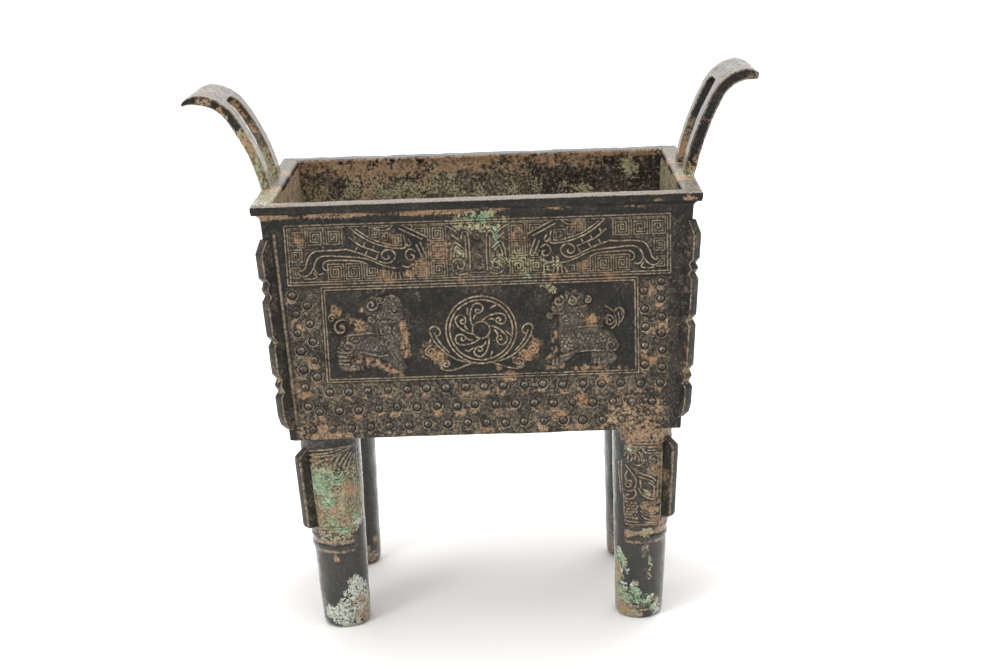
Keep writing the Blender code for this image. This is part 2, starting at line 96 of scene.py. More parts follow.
def patinated_bronze():
    """Leaded tin bronze, sand cast and long weathered.

    A near-black oxide skin with a dull waxy gloss, paler where hands and cloths have rubbed
    the raised lines, with brown earth in the hollows and spots of green copper salts.  Painted
    shade darkens its recesses, and painted highlights lighten its bosses and lions.
    """
    material = bpy.data.materials.new("patinated_bronze")
    material.use_nodes = True
    tree = material.node_tree
    bronze = tree.nodes["Principled BSDF"].inputs
    add = partial(add_node, tree)
    smooth = {"interpolation_type": "SMOOTHSTEP"}
    blend = {"data_type": "RGBA"}
    times, plus, less, most = ({"operation": word}
                               for word in ("MULTIPLY", "ADD", "SUBTRACT", "MAXIMUM"))
    line, soil, hollow, sheen = (add("Attribute", out="Fac", attribute_name=name)
                                 for name in ("line", "soil", "hollow", "sheen"))

    # Blotches 34, 9, 2.2 and 0.9 mm across, and two blends of them.
    place = add("TexCoord", out="Object")
    broad, patch, grain, grit = (
        add("TexNoise", place, 1.0 / (across * MM), detail, rough)
        for across, detail, rough in ((34.0, 4.0, 0.6), (9.0, 5.0, 0.65), (2.2, 4.0, 0.7),
                                      (0.9, 3.0, 0.7)))
    dust = add("Math", add("Math", grit, grain, **plus), 0.5, **times)
    clots = add("Math", add("Math", patch, grain, **plus), 0.5, **times)

    # Oxide skin, rubbed thread and earth: a first colour, and others that come in over it
    # between two values of a pattern, up to a share.
    tones = []
    for first, others in (
            ("#131413", ((patch, 0.35, 0.70, 1.00, "#242320"), (broad, 0.45, 0.75, 0.45, "#39332a"),
                         (dust, 0.50, 0.70, 0.60, "#5d564c"))),
            ("#87765f", ((grain, 0.35, 0.65, 1.00, "#d2c1a6"), (broad, 0.45, 0.65, 0.40, "#b08c68"),
                         (soil, 0.12, 0.45, 0.75, "#b08f6a"))),
            ("#5f4b39", ((dust, 0.38, 0.60, 1.00, "#bc9c7b"), (broad, 0.48, 0.62, 0.60, "#a57f5b"),
                         (grit, 0.54, 0.70, 0.70, "#453b31")))):
        tone = linear(first)
        for pattern, start, end, share, code in others:
            over = add("MapRange", pattern, start, end, 0.0, share, **smooth)
            tone = add("Mix", over, tone, linear(code), **blend)
        tones.append(tone)
    skin, thread, earth_tone = tones
    # The line layer is rubbed thread, and on the bosses and the lions' raised bodies painted
    # highlight too.
    rubbed = add("Math", line, add("MapRange", clots, 0.35, 0.58, 0.30, 1.0, **smooth), **times)
    colour = add("Mix", rubbed, skin, thread, **blend)

    # Dust lies as a film and crust in specks; both lie unevenly, and thin on the threads.
    film = add("Math", add("MapRange", dust, 0.36, 0.64, 0.5, 1.5, **smooth),
               add("MapRange", clots, 0.40, 0.60, 0.6, 1.4, **smooth), **times)
    film = add("Math", film, add("MapRange", line, 0.1, 0.8, 1.0, 0.4, **smooth), **times)
    speck = add("Math", add("MapRange", dust, 0.38, 0.62, 0.6, 1.4, **smooth),
                add("MapRange", clots, 0.36, 0.64, 0.3, 1.7, **smooth), **times)
    spots = add("MapRange", clots, 0.34, 0.66, 0.1, 1.9, **smooth)
    crusts = 0.0
    for name, dark, pale, parts, start, end in (
            ("silt", "#48413a", "#8b7c67", film, 0.0, 1.0),
            ("ochre", "#736a50", "#b3aa87", add("Math", speck, 0.64, **most), 0.36, 0.80),
            ("green", "#5f7459", "#a6bc98", spots, 0.45, 0.70),
            ("crust", "#6f7568", "#d6dbcb", speck, 0.35, 0.65)):
        amount = add("Math", add("Attribute", out="Fac", attribute_name=name), parts, **times)
        amount = add("MapRange", amount, start, end, **smooth)
        tone = add("Mix", add("MapRange", dust, 0.38, 0.62, **smooth), linear(dark), linear(pale),
                   **blend)
        colour = add("Mix", amount, colour, tone, **blend)
        crusts = add("Math", crusts, amount, **most)

    # Earth fills the hollows last, less where the painted shade is strongest and where a thread is
    # rubbed.
    # Painted shade: near black over recesses, the troughs beside threads and the lower sides of
    # bosses.
    colour = add("Mix", add("Math", hollow, 0.8, **times), colour, linear("#1f1a15"), **blend)
    earth = add("Math", soil, add("MapRange", clots, 0.36, 0.64, 0.15, 1.85, **smooth), **times)
    earth = add("MapRange", earth, 0.18, 0.75, 0.0, 0.85, **smooth)
    for sheet, start, end, share in ((line, 0.1, 0.8, 0.35), (hollow, 0.3, 0.9, 0.45)):
        left = add("MapRange", sheet, start, end, 1.0, share, **smooth)
        earth = add("Math", earth, left, **times)
    colour = add("Mix", earth, colour, earth_tone, **blend)
    crusts = add("Math", crusts, earth, **most)

    gloss = add("Math", add("MapRange", patch, 0.3, 0.7, 0.30, 0.48, **smooth),
                add("Math", crusts, 0.40, **times), **plus)
    gloss = add("Math", gloss, add("Math", sheen, 0.14, **times), **less)
    pits = add("Math", add("MapRange", grain, 0.25, 0.6, **smooth), dust, **plus)
    strength = add("MapRange", sheen, 0.2, 1.0, 0.6, 0.15, **smooth)
    bump = add("Bump", strength, 0.6 * MM, None, add("Math", pits, 0.5, **times))
    metal = add("MapRange", crusts, 0.0, 1.0, 0.25, 0.0, **smooth)
    for name, value in (("Base Color", colour), ("Metallic", metal), ("Roughness", gloss),
                        ("Coat Weight", sheen), ("Coat Normal", bump), ("Normal", bump)):
        tree.links.new(value, bronze[name])
    bronze["Coat Roughness"].default_value = 0.18
    bronze["Specular IOR Level"].default_value = 0.33
    return material


BRONZE = patinated_bronze()


def wobble(points, size, seed, terms=14):
    """Smooth unevenness from -1 to 1: the mean of sine waves that run in random directions,
    with wavelengths about size in millimetres."""
    random = np.random.default_rng(seed)
    total = np.zeros(points.shape[:-1])
    for _ in range(terms):
        direction = random.normal(size=3)
        length = size * MM * random.uniform(0.6, 1.6)
        direction *= 2.0 * math.pi / (length * np.linalg.norm(direction))
        total += np.sin(points @ direction + random.uniform(0.0, 2.0 * math.pi))
    return total / math.sqrt(terms)


def stains(points, marks, **layers):
    """Paint layers of a piece from marks, given for each layer as x from the vessel's middle,
    y, z and radius: one minus the squared distance over the radius, at least nought.  Other
    layers are taken as given."""
    place = points / MM - (MIDDLE_X, 0.0, 0.0)
    for layer, patches in marks.items():
        for *centre, radius in patches:
            square = ((place - centre) ** 2).sum(axis=-1) / (1.6 * radius) ** 2
            near = np.clip(1.0 - square, 0.0, 1.0)
            layers[layer] = np.maximum(layers.get(layer, 0.0), near)
    return layers


def add_piece(name, points, faces, layers, most=None):
    """A finished piece of the casting from points in metres and its quads and end caps, with
    its paint layers stored at the vertices.  Collapsed to at most the given triangles."""
    quads, caps = faces
    mesh = bpy.data.meshes.new(name)
    mesh.vertices.add(len(points))
    mesh.vertices.foreach_set("co", points.astype(np.float32).ravel())
    corners = np.concatenate([quads.ravel(), *caps])
    sizes = np.concatenate([np.full(len(quads), 4), [len(cap) for cap in caps]]).astype(int)
    mesh.loops.add(len(corners))
    mesh.loops.foreach_set("vertex_index", corners.astype(np.int32))
    mesh.polygons.add(len(sizes))
    mesh.polygons.foreach_set("loop_start", (np.cumsum(sizes) - sizes).astype(np.int32))
    mesh.update(calc_edges=True)
    for layer, values in layers.items():
        store = mesh.attributes.new(layer, "FLOAT", "POINT")
        store.data.foreach_set("value", values.astype(np.float32).ravel())
    mesh.materials.append(BRONZE)
    piece = bpy.data.objects.new(name, mesh)
    bpy.context.scene.collection.objects.link(piece)
    triangles = 2 * len(quads) + sum(len(cap) - 2 for cap in caps)
    if most and triangles > most:
        thin = piece.modifiers.new("thin", "DECIMATE")
        thin.ratio = most / triangles
        graph = bpy.context.evaluated_depsgraph_get()
        piece.data = bpy.data.meshes.new_from_object(piece.evaluated_get(graph))
        piece.modifiers.clear()
        bpy.data.meshes.remove(mesh)
        piece.data.name = name
    piece.data.shade_smooth()
    piece.data.set_sharp_from_angle(angle=SHARP)
    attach(piece, "root")
    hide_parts("square_ding")
    return piece


def tube(rings, around, turned=False, closed=False):
    """Faces of a tube: quads between rings of points, point a of ring r at r * around + a,
    and a cap on each end, or none where the last ring joins the first.  Turned, every face
    looks the other way."""
    ring = np.arange(rings if closed else rings - 1)[:, None]
    step = np.arange(around)[None, :]
    after, beside = (ring + 1) % rings, (step + 1) % around
    quads = np.stack([ring * around + step, ring * around + beside, after * around + beside,
                      after * around + step], axis=-1).reshape(-1, 4)
    caps = () if closed else (step[0, ::-1], step[0] + (rings - 1) * around)
    if turned:
        return quads[:, ::-1], [cap[::-1] for cap in caps]
    return quads, caps


def ray(angle):
    """Unit vectors at angles in radians."""
    return np.stack((np.cos(angle), np.sin(angle)), axis=1)


def smooth_line(points, closed=False, per=5):
    """Catmull-Rom curve: between two points a cubic whose slope at each is half the step
    from the point before it to the point after it."""
    line = np.asarray(points, float)
    if closed:
        line = np.vstack((line[-1:], line, line[:2]))
    else:
        line = np.vstack((2.0 * line[0] - line[1], line, 2.0 * line[-1] - line[-2]))
    a, b, c, d = line[:-3], line[1:-2], line[2:-1], line[3:]
    t = np.linspace(0.0, 1.0, per, endpoint=False)[:, None, None]
    curve = 0.5 * (2.0 * b + (c - a) * t + (2.0 * a - 5.0 * b + 4.0 * c - d) * t ** 2
                   + (3.0 * b - a - 3.0 * c + d) * t ** 3)
    return np.vstack((curve.transpose(1, 0, 2).reshape(-1, 2), line[-2:-1]))


def curl(u, v, radius, start, turns):
    """Spiral line: the angle goes turns times round from start, in degrees, while the
    radius shrinks evenly to a sixth."""
    along = np.linspace(0.0, 1.0, 8 + int(12 * abs(turns)))
    angle = math.radians(start) + 2.0 * math.pi * turns * along
    return (u, v) + radius * (1.0 - 0.84 * along)[:, None] * ray(angle)


def fret(u, v, half, gap, flip):
    """Thunder-pattern cell: a square spiral whose sides step in by gap each time round, as it
    is or, with flip -1, in the mirror."""
    points = []
    inset = 0.0
    while half - inset > 0.6 * gap:
        near = half - inset
        points += [(-near, -half + max(inset - gap, 0.0)), (-near, near), (near, near),
                   (near, -near)]
        inset += gap
    last = half - inset + gap
    points += [(-last + gap, -last), (-last + gap, 0.2 * gap)]
    return np.array(points) * (flip, 1.0) + (u, v)


def distance(path, u, v):
    """Least distance from each place to the straight pieces of a path."""
    best = np.full(u.shape, 1e9)
    for (au, av), (bu, bv) in zip(path[:-1], path[1:]):
        du, dv = bu - au, bv - av
        share = ((u - au) * du + (v - av) * dv) / max(du * du + dv * dv, 1e-9)
        share = np.clip(share, 0.0, 1.0)
        np.minimum(best, (u - au - share * du) ** 2 + (v - av - share * dv) ** 2, out=best)
    return np.sqrt(best)


class Relief:
    """Low relief over a grid of (u, v) places in millimetres.

    base is the broad height, ridge the raised threads and trough what is sunk beside them;
    paint holds the layers of patina, earth and wear, and of painted shade and painted highlight.
    """

    def __init__(self, u, v):
        self.u, self.v = u, v
        self.base, self.ridge, self.trough = (np.zeros(u.shape) for _ in range(3))
        self.paint = {name: np.zeros(u.shape)
                      for name in ("line", "soil", "silt", "ochre", "green", "crust", "hollow",
                                   "sheen")}

    def window(self, path, margin):
        """The slice of the grid round a path."""
        (u0, v0), (u1, v1) = path.min(axis=0) - margin, path.max(axis=0) + margin
        inside = (self.u > u0) & (self.u < u1) & (self.v > v0) & (self.v < v1)
        rows, columns = (np.flatnonzero(inside.any(axis=axis)) for axis in (1, 0))
        if not len(rows):
            return None
        return np.s_[rows[0]:rows[-1] + 1, columns[0]:columns[-1] + 1]

    def thread(self, path, width=THREAD_WIDTH, rise=THREAD_RISE, rubbed=1.0):
        """Raised line: a bell-shaped ridge along the path, with a trough each side."""
        at = self.window(path, 4.0 * width)
        if at is None:
            return
        self.profile(at, distance(path, self.u[at], self.v[at]), width, rise, rubbed)

    def profile(self, at, away, width, rise, rubbed):
        """The section of a thread, from the distance to its middle."""
        bell = np.exp(-(away / width) ** 2)
        np.maximum(self.ridge[at], rise * bell, out=self.ridge[at])
        side = np.exp(-((away - 2.1 * width) / (0.9 * width)) ** 2)
        np.maximum(self.trough[at], 0.5 * rise * side, out=self.trough[at])
        # Painted shade in the troughs each side of the thread.
        np.maximum(self.paint["hollow"][at], 0.6 * side, out=self.paint["hollow"][at])
        np.maximum(self.paint["line"][at], rubbed * bell, out=self.paint["line"][at])

    def frame(self, half, low, high, rise, rubbed):
        """Thread along a rectangle."""
        out_u = np.abs(self.u) - half
        out_v = np.abs(self.v - (low + high) / 2.0) - (high - low) / 2.0
        outside = np.hypot(np.maximum(out_u, 0.0), np.maximum(out_v, 0.0))
        away = np.abs(outside + np.minimum(np.maximum(out_u, out_v), 0.0))
        self.profile(np.s_[:, :], away, 0.46, rise, rubbed)

    def field(self, path, rise, edge=0.7):
        """Flat raised area inside a closed path with rounded edges, over what was there."""
        at = self.window(path, 2.0)
        if at is None:
            return
        u, v = self.u[at], self.v[at]
        inside = np.zeros(u.shape, bool)
        for (au, av), (bu, bv) in zip(path[:-1], path[1:]):
            if av != bv:
                inside ^= ((av > v) != (bv > v)) & (u < (bu - au) * (v - av) / (bv - av) + au)
        away = distance(path, u, v)
        share = np.clip(0.5 + np.where(inside, away, -away) / edge, 0.0, 1.0)
        share = share * share * (3.0 - 2.0 * share)
        self.base[at] += (rise - self.base[at]) * share
        for sheet in (self.ridge, self.trough, self.paint["line"], self.paint["hollow"]):
            sheet[at] *= 1.0 - share
        for layer in ("silt", "soil"):
            self.paint[layer][at] *= 1.0 - 0.85 * share

    def lump(self, u, v, half_u, half_v, turn, rise):
        """Rounded swelling on an oval: the square root of one minus the squared distance
        from its middle, over what was there."""
        reach = max(half_u, half_v)
        at = self.window(np.array([(u - reach, v - reach), (u + reach, v + reach)]), 0.5)
        if at is None:
            return
        cos, sin = math.cos(math.radians(turn)), math.sin(math.radians(turn))
        du, dv = self.u[at] - u, self.v[at] - v
        square = ((du * cos + dv * sin) / half_u) ** 2 + ((dv * cos - du * sin) / half_v) ** 2
        height = rise * np.sqrt(np.clip(1.0 - square, 0.0, 1.0))
        np.maximum(self.base[at], height, out=self.base[at])

    def boss(self, u, v, radius, rise, worn):
        """Boss, one minus the squared distance over the radius, in a groove with a thin
        raised ring round it.  The ring is rubbed, and painted brighter below as a painted
        highlight.  The boss has a painted highlight on its upper half, strongest to each side of
        its top, and painted shade in its groove and on its lower side."""
        at = self.window(np.array([(u, v)]), 2.4 * radius)
        if at is None:
            return
        away = np.hypot(self.u[at] - u, self.v[at] - v) / radius
        upward = (self.v[at] - v) / (radius * np.maximum(away, 0.3))
        aside = np.abs(self.u[at] - u) / (radius * np.maximum(away, 0.3))
        groove = np.exp(-((away - 0.99) / 0.10) ** 2)
        ring = worn * np.exp(-((away - 1.20) / 0.15) ** 2)
        # Painted highlight on the upper half of the boss, strongest to each side of its top, and on
        # the lower side of the ring; both go into the line layer with the ring's wear.
        crown_highlight = np.exp(-((away - 0.62) / 0.20) ** 2) * np.clip(0.3 + upward, 0.0, 1.0)
        rubbed = np.maximum(ring * (0.85 - 0.45 * upward), crown_highlight * (0.15 + 1.05 * aside))
        # Painted shade on the lower side of the boss and in its groove.
        under = (away < 0.95) * np.clip(0.4 - upward, 0.0, 1.0)
        for layer in ("soil", "silt", "ochre"):
            self.paint[layer][at] *= np.clip(5.0 * away - 6.6, 0.0, 1.0)
        for sheet, values in ((self.base, rise * np.clip(1.0 - away ** 2, 0.0, 1.0)),
                              (self.trough, 0.35 * groove), (self.ridge, 0.40 * ring),
                              (self.paint["line"], np.clip(rubbed, 0.0, 1.0)),
                              (self.paint["hollow"], 0.5 * np.maximum(groove, under)),
                              (self.paint["sheen"], 0.5 * (away < 1.0))):
            np.maximum(sheet[at], values, out=sheet[at])

    def stain(self, layer, u, v, radius, amount):
        """Paint round a place: the amount times one minus the squared distance over the
        radius."""
        at = self.window(np.array([(u, v)]), 1.3 * radius)
        if at is not None:
            square = ((self.u[at] - u) ** 2 + (self.v[at] - v) ** 2) / (1.3 * radius) ** 2
            sheet = self.paint[layer][at]
            np.maximum(sheet, amount * np.clip(1.0 - square, 0.0, 1.0), out=sheet)

    def height(self):
        """Height of the finished surface: no trough cuts into a crest."""
        crest = np.clip(self.ridge / 0.3, 0.0, 1.0)
        return self.base + self.ridge - self.trough * (1.0 - crest)


def both(points):
    """A drawing and its mirror image."""
    line = np.asarray(points, float)
    return line, line * (-1.0, 1.0)


def draw_frames(relief, trim, band_rubbed, panel_rubbed):
    """Two threads round the band and two round the panel, all of them narrower by trim."""
    for step in (0.0, LINE_GAP):
        relief.frame(BAND_HALF - trim + step, BAND_LOW - step, BAND_HIGH + step, 0.40,
                     band_rubbed)
        relief.frame(PANEL_HALF - trim - step, PANEL_LOW + step, PANEL_HIGH - step, 0.42,
                     panel_rubbed)


def draw_ground(relief):
    """Thunder pattern in three rows behind the figures of the band."""
    for v, row in ((144.3, (26.3, 38.4, 95.6, 107.8, 119.9)), (132.1, (26.3, 38.4)),
                   (119.9, (26.3, 38.4, 71.3, 83.5, 95.6))):
        for u in row:
            for side in (-1.0, 1.0):
                relief.thread(fret(side * u, v, FRET_HALF, FRET_GAP, side), 0.40, 0.42, 0.72)
    for u, v, size in ((54.6, 140.3, 3.7), (62.4, 143, 2.6), (68.6, 146, 3.2),
                       (121.9, 131.6, 4.2), (122.6, 119.8, 3.4), (62, 117, 2)):
        for side in (-1.0, 1.0):
            relief.thread(fret(side * u, v, size, 1.6, -side), 0.38, 0.42, 0.72)
    band = (relief.v > BAND_LOW) & (relief.v < BAND_HIGH) & (np.abs(relief.u) < BAND_HALF)
    relief.paint["silt"] += 0.22 * band
    relief.paint["soil"] += 0.10 * band


BIRD = (
    (48.6, 135), (55.5, 135.1), (62.9, 136.6), (70.3, 139.4), (76.4, 143), (81.8, 147.2),
    (84.5, 150.2), (89.6, 150.2), (88.6, 142), (88.4, 135.4), (99, 134.9), (109.5, 134),
    (113.2, 131.2), (115, 127.3), (116.4, 122.8), (119.6, 121), (121.8, 122.2), (122.3, 119.2),
    (119.4, 116.8), (114, 115.2), (109.4, 116), (106, 118), (103.2, 118.4), (102.8, 121.2),
    (103.6, 125.2), (100, 127.1), (90, 127.1), (80, 126), (72, 123), (66, 120.2), (60.5, 118.8),
    (59.4, 114.2), (49.6, 114.2), (49.4, 118.6), (44, 121), (41, 126), (36.6, 131), (34.4, 138),
    (33.9, 142.4), (42.5, 147), (49.6, 150.3), (55.6, 150.3), (55.4, 146), (50, 144.4),
    (48.4, 139.4))
BIRD_LINES = (
    ((84.5, 149.9), (81.8, 147.2), (76.4, 143), (70.3, 139.4), (62.9, 136.6), (55.5, 135.1),
     (48.9, 135), (48.4, 138.8), (49.2, 143.6)),
    ((81, 148.9), (71.7, 142.3), (63.6, 139), (55.6, 137), (50.9, 137)),
    ((66.1, 132.3), (71.5, 134.6), (77.6, 137.1), (81.6, 140), (85.6, 143.4)),
    ((88.2, 135.4), (83.5, 133.8), (77.5, 131.6), (70, 128.1), (64.6, 125.5), (60, 124.9),
     (56.3, 127), (55.3, 130.6), (57.5, 133.4), (61, 133.9), (64, 132), (64.3, 129.2),
     (62, 127.5), (59.8, 128.4), (60.2, 130.2)),
    ((42.1, 132.5), (45.2, 134.1), (47.8, 132.3), (48.4, 129.2), (46.3, 126.5), (43.6, 126.9),
     (42.9, 129.2), (44.6, 130.2)),
    ((54.7, 121), (59.3, 121.8), (66, 124.3), (72, 127.2), (79, 129.2), (93.5, 130.6),
     (101.5, 131.2), (106.1, 130.2), (109.1, 127), (110, 122.9), (108.7, 119.8), (106.3, 118.5),
     (104.3, 119.2)),
    ((74.7, 124.8), (79.4, 126.7), (86.7, 127.5), (94.8, 127.9), (100.8, 127.7), (103.7, 125.8),
     (104, 122.7), (102, 121.1), (100, 121.8)),
    ((88.4, 135.2), (94.9, 134.8), (103.5, 134.8), (109.5, 133.9), (112.8, 131.4), (114.8, 127.5),
     (116.1, 123.3), (118.4, 121.2), (120.7, 122.1)),
    ((110.4, 123.2), (112.7, 119.6), (116, 117.5), (119.4, 118), (121.4, 120.4)),
    ((110.6, 119.6), (108.6, 116.6), (112.4, 115.4), (117.4, 115.8)),
    ((56.6, 150), (59.8, 147.7), (64.5, 147.5), (69.2, 148.9), (72, 150.2)),
    ((60, 150.2), (64, 149.4), (68, 150.2)), ((50, 150.4), (42.5, 146.6), (33.7, 142)),
    ((52, 148.4), (44.5, 144.4), (37, 140.6)), ((38.4, 138.4), (36.6, 134), (34.6, 128)),
    ((41, 136.6), (39, 131.8), (36.8, 126.4)), ((43.4, 123.4), (47, 121.6), (50.6, 122.4)),
    ((50.6, 118), (49.8, 114.8)), ((53.2, 118.2), (52.6, 113.8)), ((55.6, 118.2), (55.8, 113.8)),
    ((57.6, 117.8), (59, 114.6)), ((46, 140.6), (44.4, 137.6), (46.4, 136.2), (47.4, 138.2)))
BIRD_BARBS = (
    (70.2, 134.3, 69.2, 136.9), (76.2, 136.6, 75.3, 139.4), (82.6, 140.8, 81.4, 143.8),
    (68.4, 127.6, 67, 130.6), (75.4, 130.8, 73.8, 133.8), (82.2, 133.4, 80.5, 136.4))


def draw_birds(relief):
    """Two birds with long tails face the middle of the band, each a plain body cut out of
    the ground, with its wing, tail and curls in thread."""
    for body in both(smooth_line(BIRD, closed=True, per=3)):
        relief.field(body, 0.34)
    for points in BIRD_LINES:
        for path in both(smooth_line(points)):
            relief.thread(path, 0.44, 0.44)
    for u0, v0, u1, v1 in BIRD_BARBS:
        for path in both(((u0, v0), (u1, v1))):
            relief.thread(path, 0.46, 0.40)


def draw_mask(relief):
    """Upright mask between the birds: two posts with hooked tops and scrolled feet."""
    side = [(0, 113.9), (18.6, 113.9), (19.4, 124), (13.6, 130.2), (19.4, 136), (12.6, 142.4),
            (12.4, 149.9), (0, 149.9)]
    outline = side + [(-u, v) for u, v in side[::-1]]
    relief.field(np.array(outline + outline[:1]), 0.25)
    lines = (
        ((10.8, 140.2), (10.4, 143.4), (8.4, 145), (6.4, 142.6), (5.8, 136), (5.6, 127),
         (5.7, 117.9)), ((8.2, 141.4), (8, 133), (7.9, 127)),
        ((7.6, 115.8), (13, 115.1), (16.6, 117.5), (17.6, 121.4), (16.3, 124.9), (13.2, 125.9),
         (10.1, 124.3), (9.5, 121), (11.5, 119), (13.7, 119.9), (13.6, 121.8)),
        ((9.6, 133.2), (15, 137.4), (17.6, 133), (18.4, 127.6)),
        ((11, 131.6), (14.4, 134.6), (15.8, 131), (16.4, 127.4)),
        ((12.4, 142.6), (16.2, 146.4), (20, 148.6)), ((13.4, 139.6), (17.6, 143)))
    for points in lines:
        for path in both(smooth_line(points)):
            relief.thread(path, 0.46, 0.44)
    for v, half in ((141.6, 3.0), (135.0, 2.6), (128.4, 3.0), (120.4, 3.4)):
        relief.lump(0.0, v, half, 2.9, 0.0, 1.3)
        relief.thread(curl(0.0, v, half + 0.2, 90.0, 1.0), 0.34, 0.36, 0.35)
        # Painted shadow under each eye.
        relief.stain("hollow", 0.0, v - 3.0, 2.6, 0.6)
    relief.thread(np.array(((-5.2, 116.4), (5.2, 116.4))), 0.46, 0.40, 0.6)


def draw_whorl(relief, cradle=True):
    """Round whorl in the middle of the panel: a hub, six curled arms that trail clockwise
    and two rings; on the long walls a boat-shaped scroll cradles it."""
    middle = np.array((0.0, WHORL_UP))
    circle = ray(2.0 * math.pi * np.linspace(0.0, 1.0, 73))
    relief.field(middle + 25.0 * circle, 0.30, edge=1.2)
    for radius, rise in ((5.9, 0.44), (21.3, 0.46), (23.8, 0.50)):
        relief.thread(middle + radius * circle, 0.50, rise)
    # An arm with its curled end, and the line below that, by angle and radius.
    arm = ((53, 5.9), (38, 9.1), (23, 13), (12, 16.6), (2, 18.9), (-8, 18.5), (-15, 16.6),
           (-14, 13.8), (-5, 12), (4, 12.6), (4, 14.6), (-3, 15.2), (-5, 14.2))
    tail = ((-5, 12), (2, 11.8), (12, 10.9), (22, 9.2))
    for turn in WHORL_TURNS:
        for line in (arm, tail):
            polar = smooth_line(line)
            path = polar[:, 1:] * ray(np.radians(polar[:, 0] + turn))
            relief.thread(middle + path, 0.50, 0.46)
    # Short strokes between the arms, by angle and radius at either end.
    for turn, near, far in ((62, 16.5, 20.6), (-8, 16.6, 20.4), (-70, 17, 20.6),
                            (-118, 14, 17.4), (-124, 17.4, 17.9), (124, 14.4, 17.6)):
        path = ((near,), (far,)) * ray(np.radians((turn + 4.0, turn - 4.0)))
        relief.thread(middle + path, 0.50, 0.40)
    if not cradle:
        return
    hull = ((35, 75.6), (33, 70.4), (29, 64.6), (23.4, 59.2), (17, 55.2), (10.4, 53.2), (4.6, 52.8))
    gunwale = ((31.6, 74.6), (29.4, 69.4), (25.8, 64.2), (22.6, 60.6))
    foot = ((28.6, 49.6), (26.4, 48), (22, 47.6), (16.8, 48.8), (11.4, 50.8), (6, 52.6))
    prow = ((35, 75.6), (34.6, 77.8), (32.4, 79.2), (29.4, 78.2), (27.8, 75.6), (28.4, 73),
            (30.4, 72.8))
    for side in (-1.0, 1.0):
        for line in (hull, gunwale, foot, prow):
            relief.thread(smooth_line(line) * (side, 1.0), 0.50, 0.46)
        relief.thread(smooth_line(((34.2, 70.6), (35.4, 67.6), (33.6, 66))) * (side, 1.0), 0.46)
        relief.thread(curl(side * 34.6, 61.2, 4.1, 90.0, -1.75 * side), 0.60, 0.5)
        relief.thread(curl(side * 24.9, 52.2, 3.6, 250.0, 1.6 * side), 0.56, 0.48)
        relief.stain("soil", side * 29.5, 56.8, 5.5, 0.8)
        relief.stain("soil", side * 36.0, 62.0, 7.0, 0.5)


# Each lion has an outline, swellings given by centre, half axes, turn and rise, curls given
# by centre, radius, start, turns and width, and lines.  Scales cover its first swellings.
LEFT_LION_OUTLINE = (
    (-64, 101), (-59, 102), (-53.5, 100), (-52.5, 94.5), (-53, 88), (-56, 83), (-55.5, 77),
    (-56, 67.5), (-55, 60.5), (-52.6, 53), (-54.5, 49.5), (-59, 51), (-64, 55.5), (-69, 59.5),
    (-76.5, 58.5), (-81.5, 61.5), (-85.5, 63), (-88.5, 59.5), (-89.5, 54.5), (-82.5, 54.5),
    (-82, 51.5), (-89, 50.5), (-94.5, 50), (-94.5, 54.5), (-98, 60.5), (-97, 67), (-94.5, 73),
    (-89, 78), (-82, 75.5), (-77, 78), (-75.5, 85.5), (-78.4, 91.5), (-77.6, 98.4), (-72.6, 102),
    (-67.6, 100.2))
LEFT_LION = (
    (-74, 67.6, 16, 7.6, -3, 1.5), (-90, 67, 7.4, 7.2, 0, 2), (-60.4, 73, 6.8, 8.4, 10, 1.9),
    (-66, 81.4, 8.2, 5.6, 0, 1.8), (-60.2, 95.8, 7.6, 7.2, 0, 1.9), (-66.4, 88, 6.4, 5.4, 0, 1.7),
    (-57.6, 87.4, 5.8, 3.6, -8, 2.3), (-94.4, 58.6, 4.6, 7, -10, 1.6),
    (-72, 95, 6.2, 6.6, 0, 1.6), (-93, 52.8, 4.6, 4, 0, 1.6), (-87, 51.6, 7.6, 2.7, 3, 1.8),
    (-60.6, 63, 4.2, 9, 22, 1.9), (-57.6, 55.6, 3.6, 6.2, 30, 1.9),
    (-54.6, 51.9, 4, 2.9, -20, 2.1), (-67, 59.4, 6, 2.6, -25, 1.2),
    (-89.8, 88.4, 2, 3.2, -35, 1.2), (-65, 105.2, 1.6, 2.8, -40, 1.3))
LEFT_LION_CURLS = (
    (-73.2, 96.2, 4.4, 20, -1.2, 0.7), (-67.6, 98.6, 2.4, 40, 1.2, 0.5),
    (-94.4, 80.4, 6, 60, 1.1, 0.8), (-93.4, 81.2, 2.4, 60, 1.3, 0.5),
    (-100.6, 87, 3.2, 10, 1.2, 0.6), (-55.2, 51.6, 1.9, 90, 1.2, 0.45),
    (-74.6, 85.4, 2.8, 300, 1.3, 0.6), (-57.6, 92.2, 1.8, 0, 1.2, 0.45),
    (-90.4, 67.4, 5, 200, 1.3, 0.6))
LEFT_LION_LINES = (
    ((-92.6, 74.6), (-84, 75.6), (-75.3, 76.2), (-70, 75)),
    ((-62, 63.4), (-60, 59.2), (-57.8, 55.8)), ((-66, 84.4), (-60, 83.6), (-55, 85)),
    ((-86.4, 61.4), (-79.5, 62.6), (-70.9, 59.8), (-63.6, 60.4)), ((-63, 101.4), (-60.6, 98)),
    ((-60.4, 102.2), (-58.2, 98.6)), ((-57.8, 102), (-55.8, 98.6)),
    ((-55.4, 100.8), (-54.2, 97.4)), ((-71, 80), (-70.4, 75.6)), ((-68, 80.4), (-67.6, 75.8)),
    ((-65, 80.6), (-64.6, 76)), ((-62, 80.4), (-61.6, 76)), ((-59, 79.4), (-58.8, 75.4)),
    ((-98, 63.4), (-91, 62.6)), ((-98.2, 60.6), (-91, 59.8)), ((-97.4, 57.8), (-90.4, 57.2)),
    ((-97, 55.2), (-90, 54.6)), ((-84.6, 53.4), (-83.8, 50)), ((-81.8, 53), (-81.2, 49.8)))
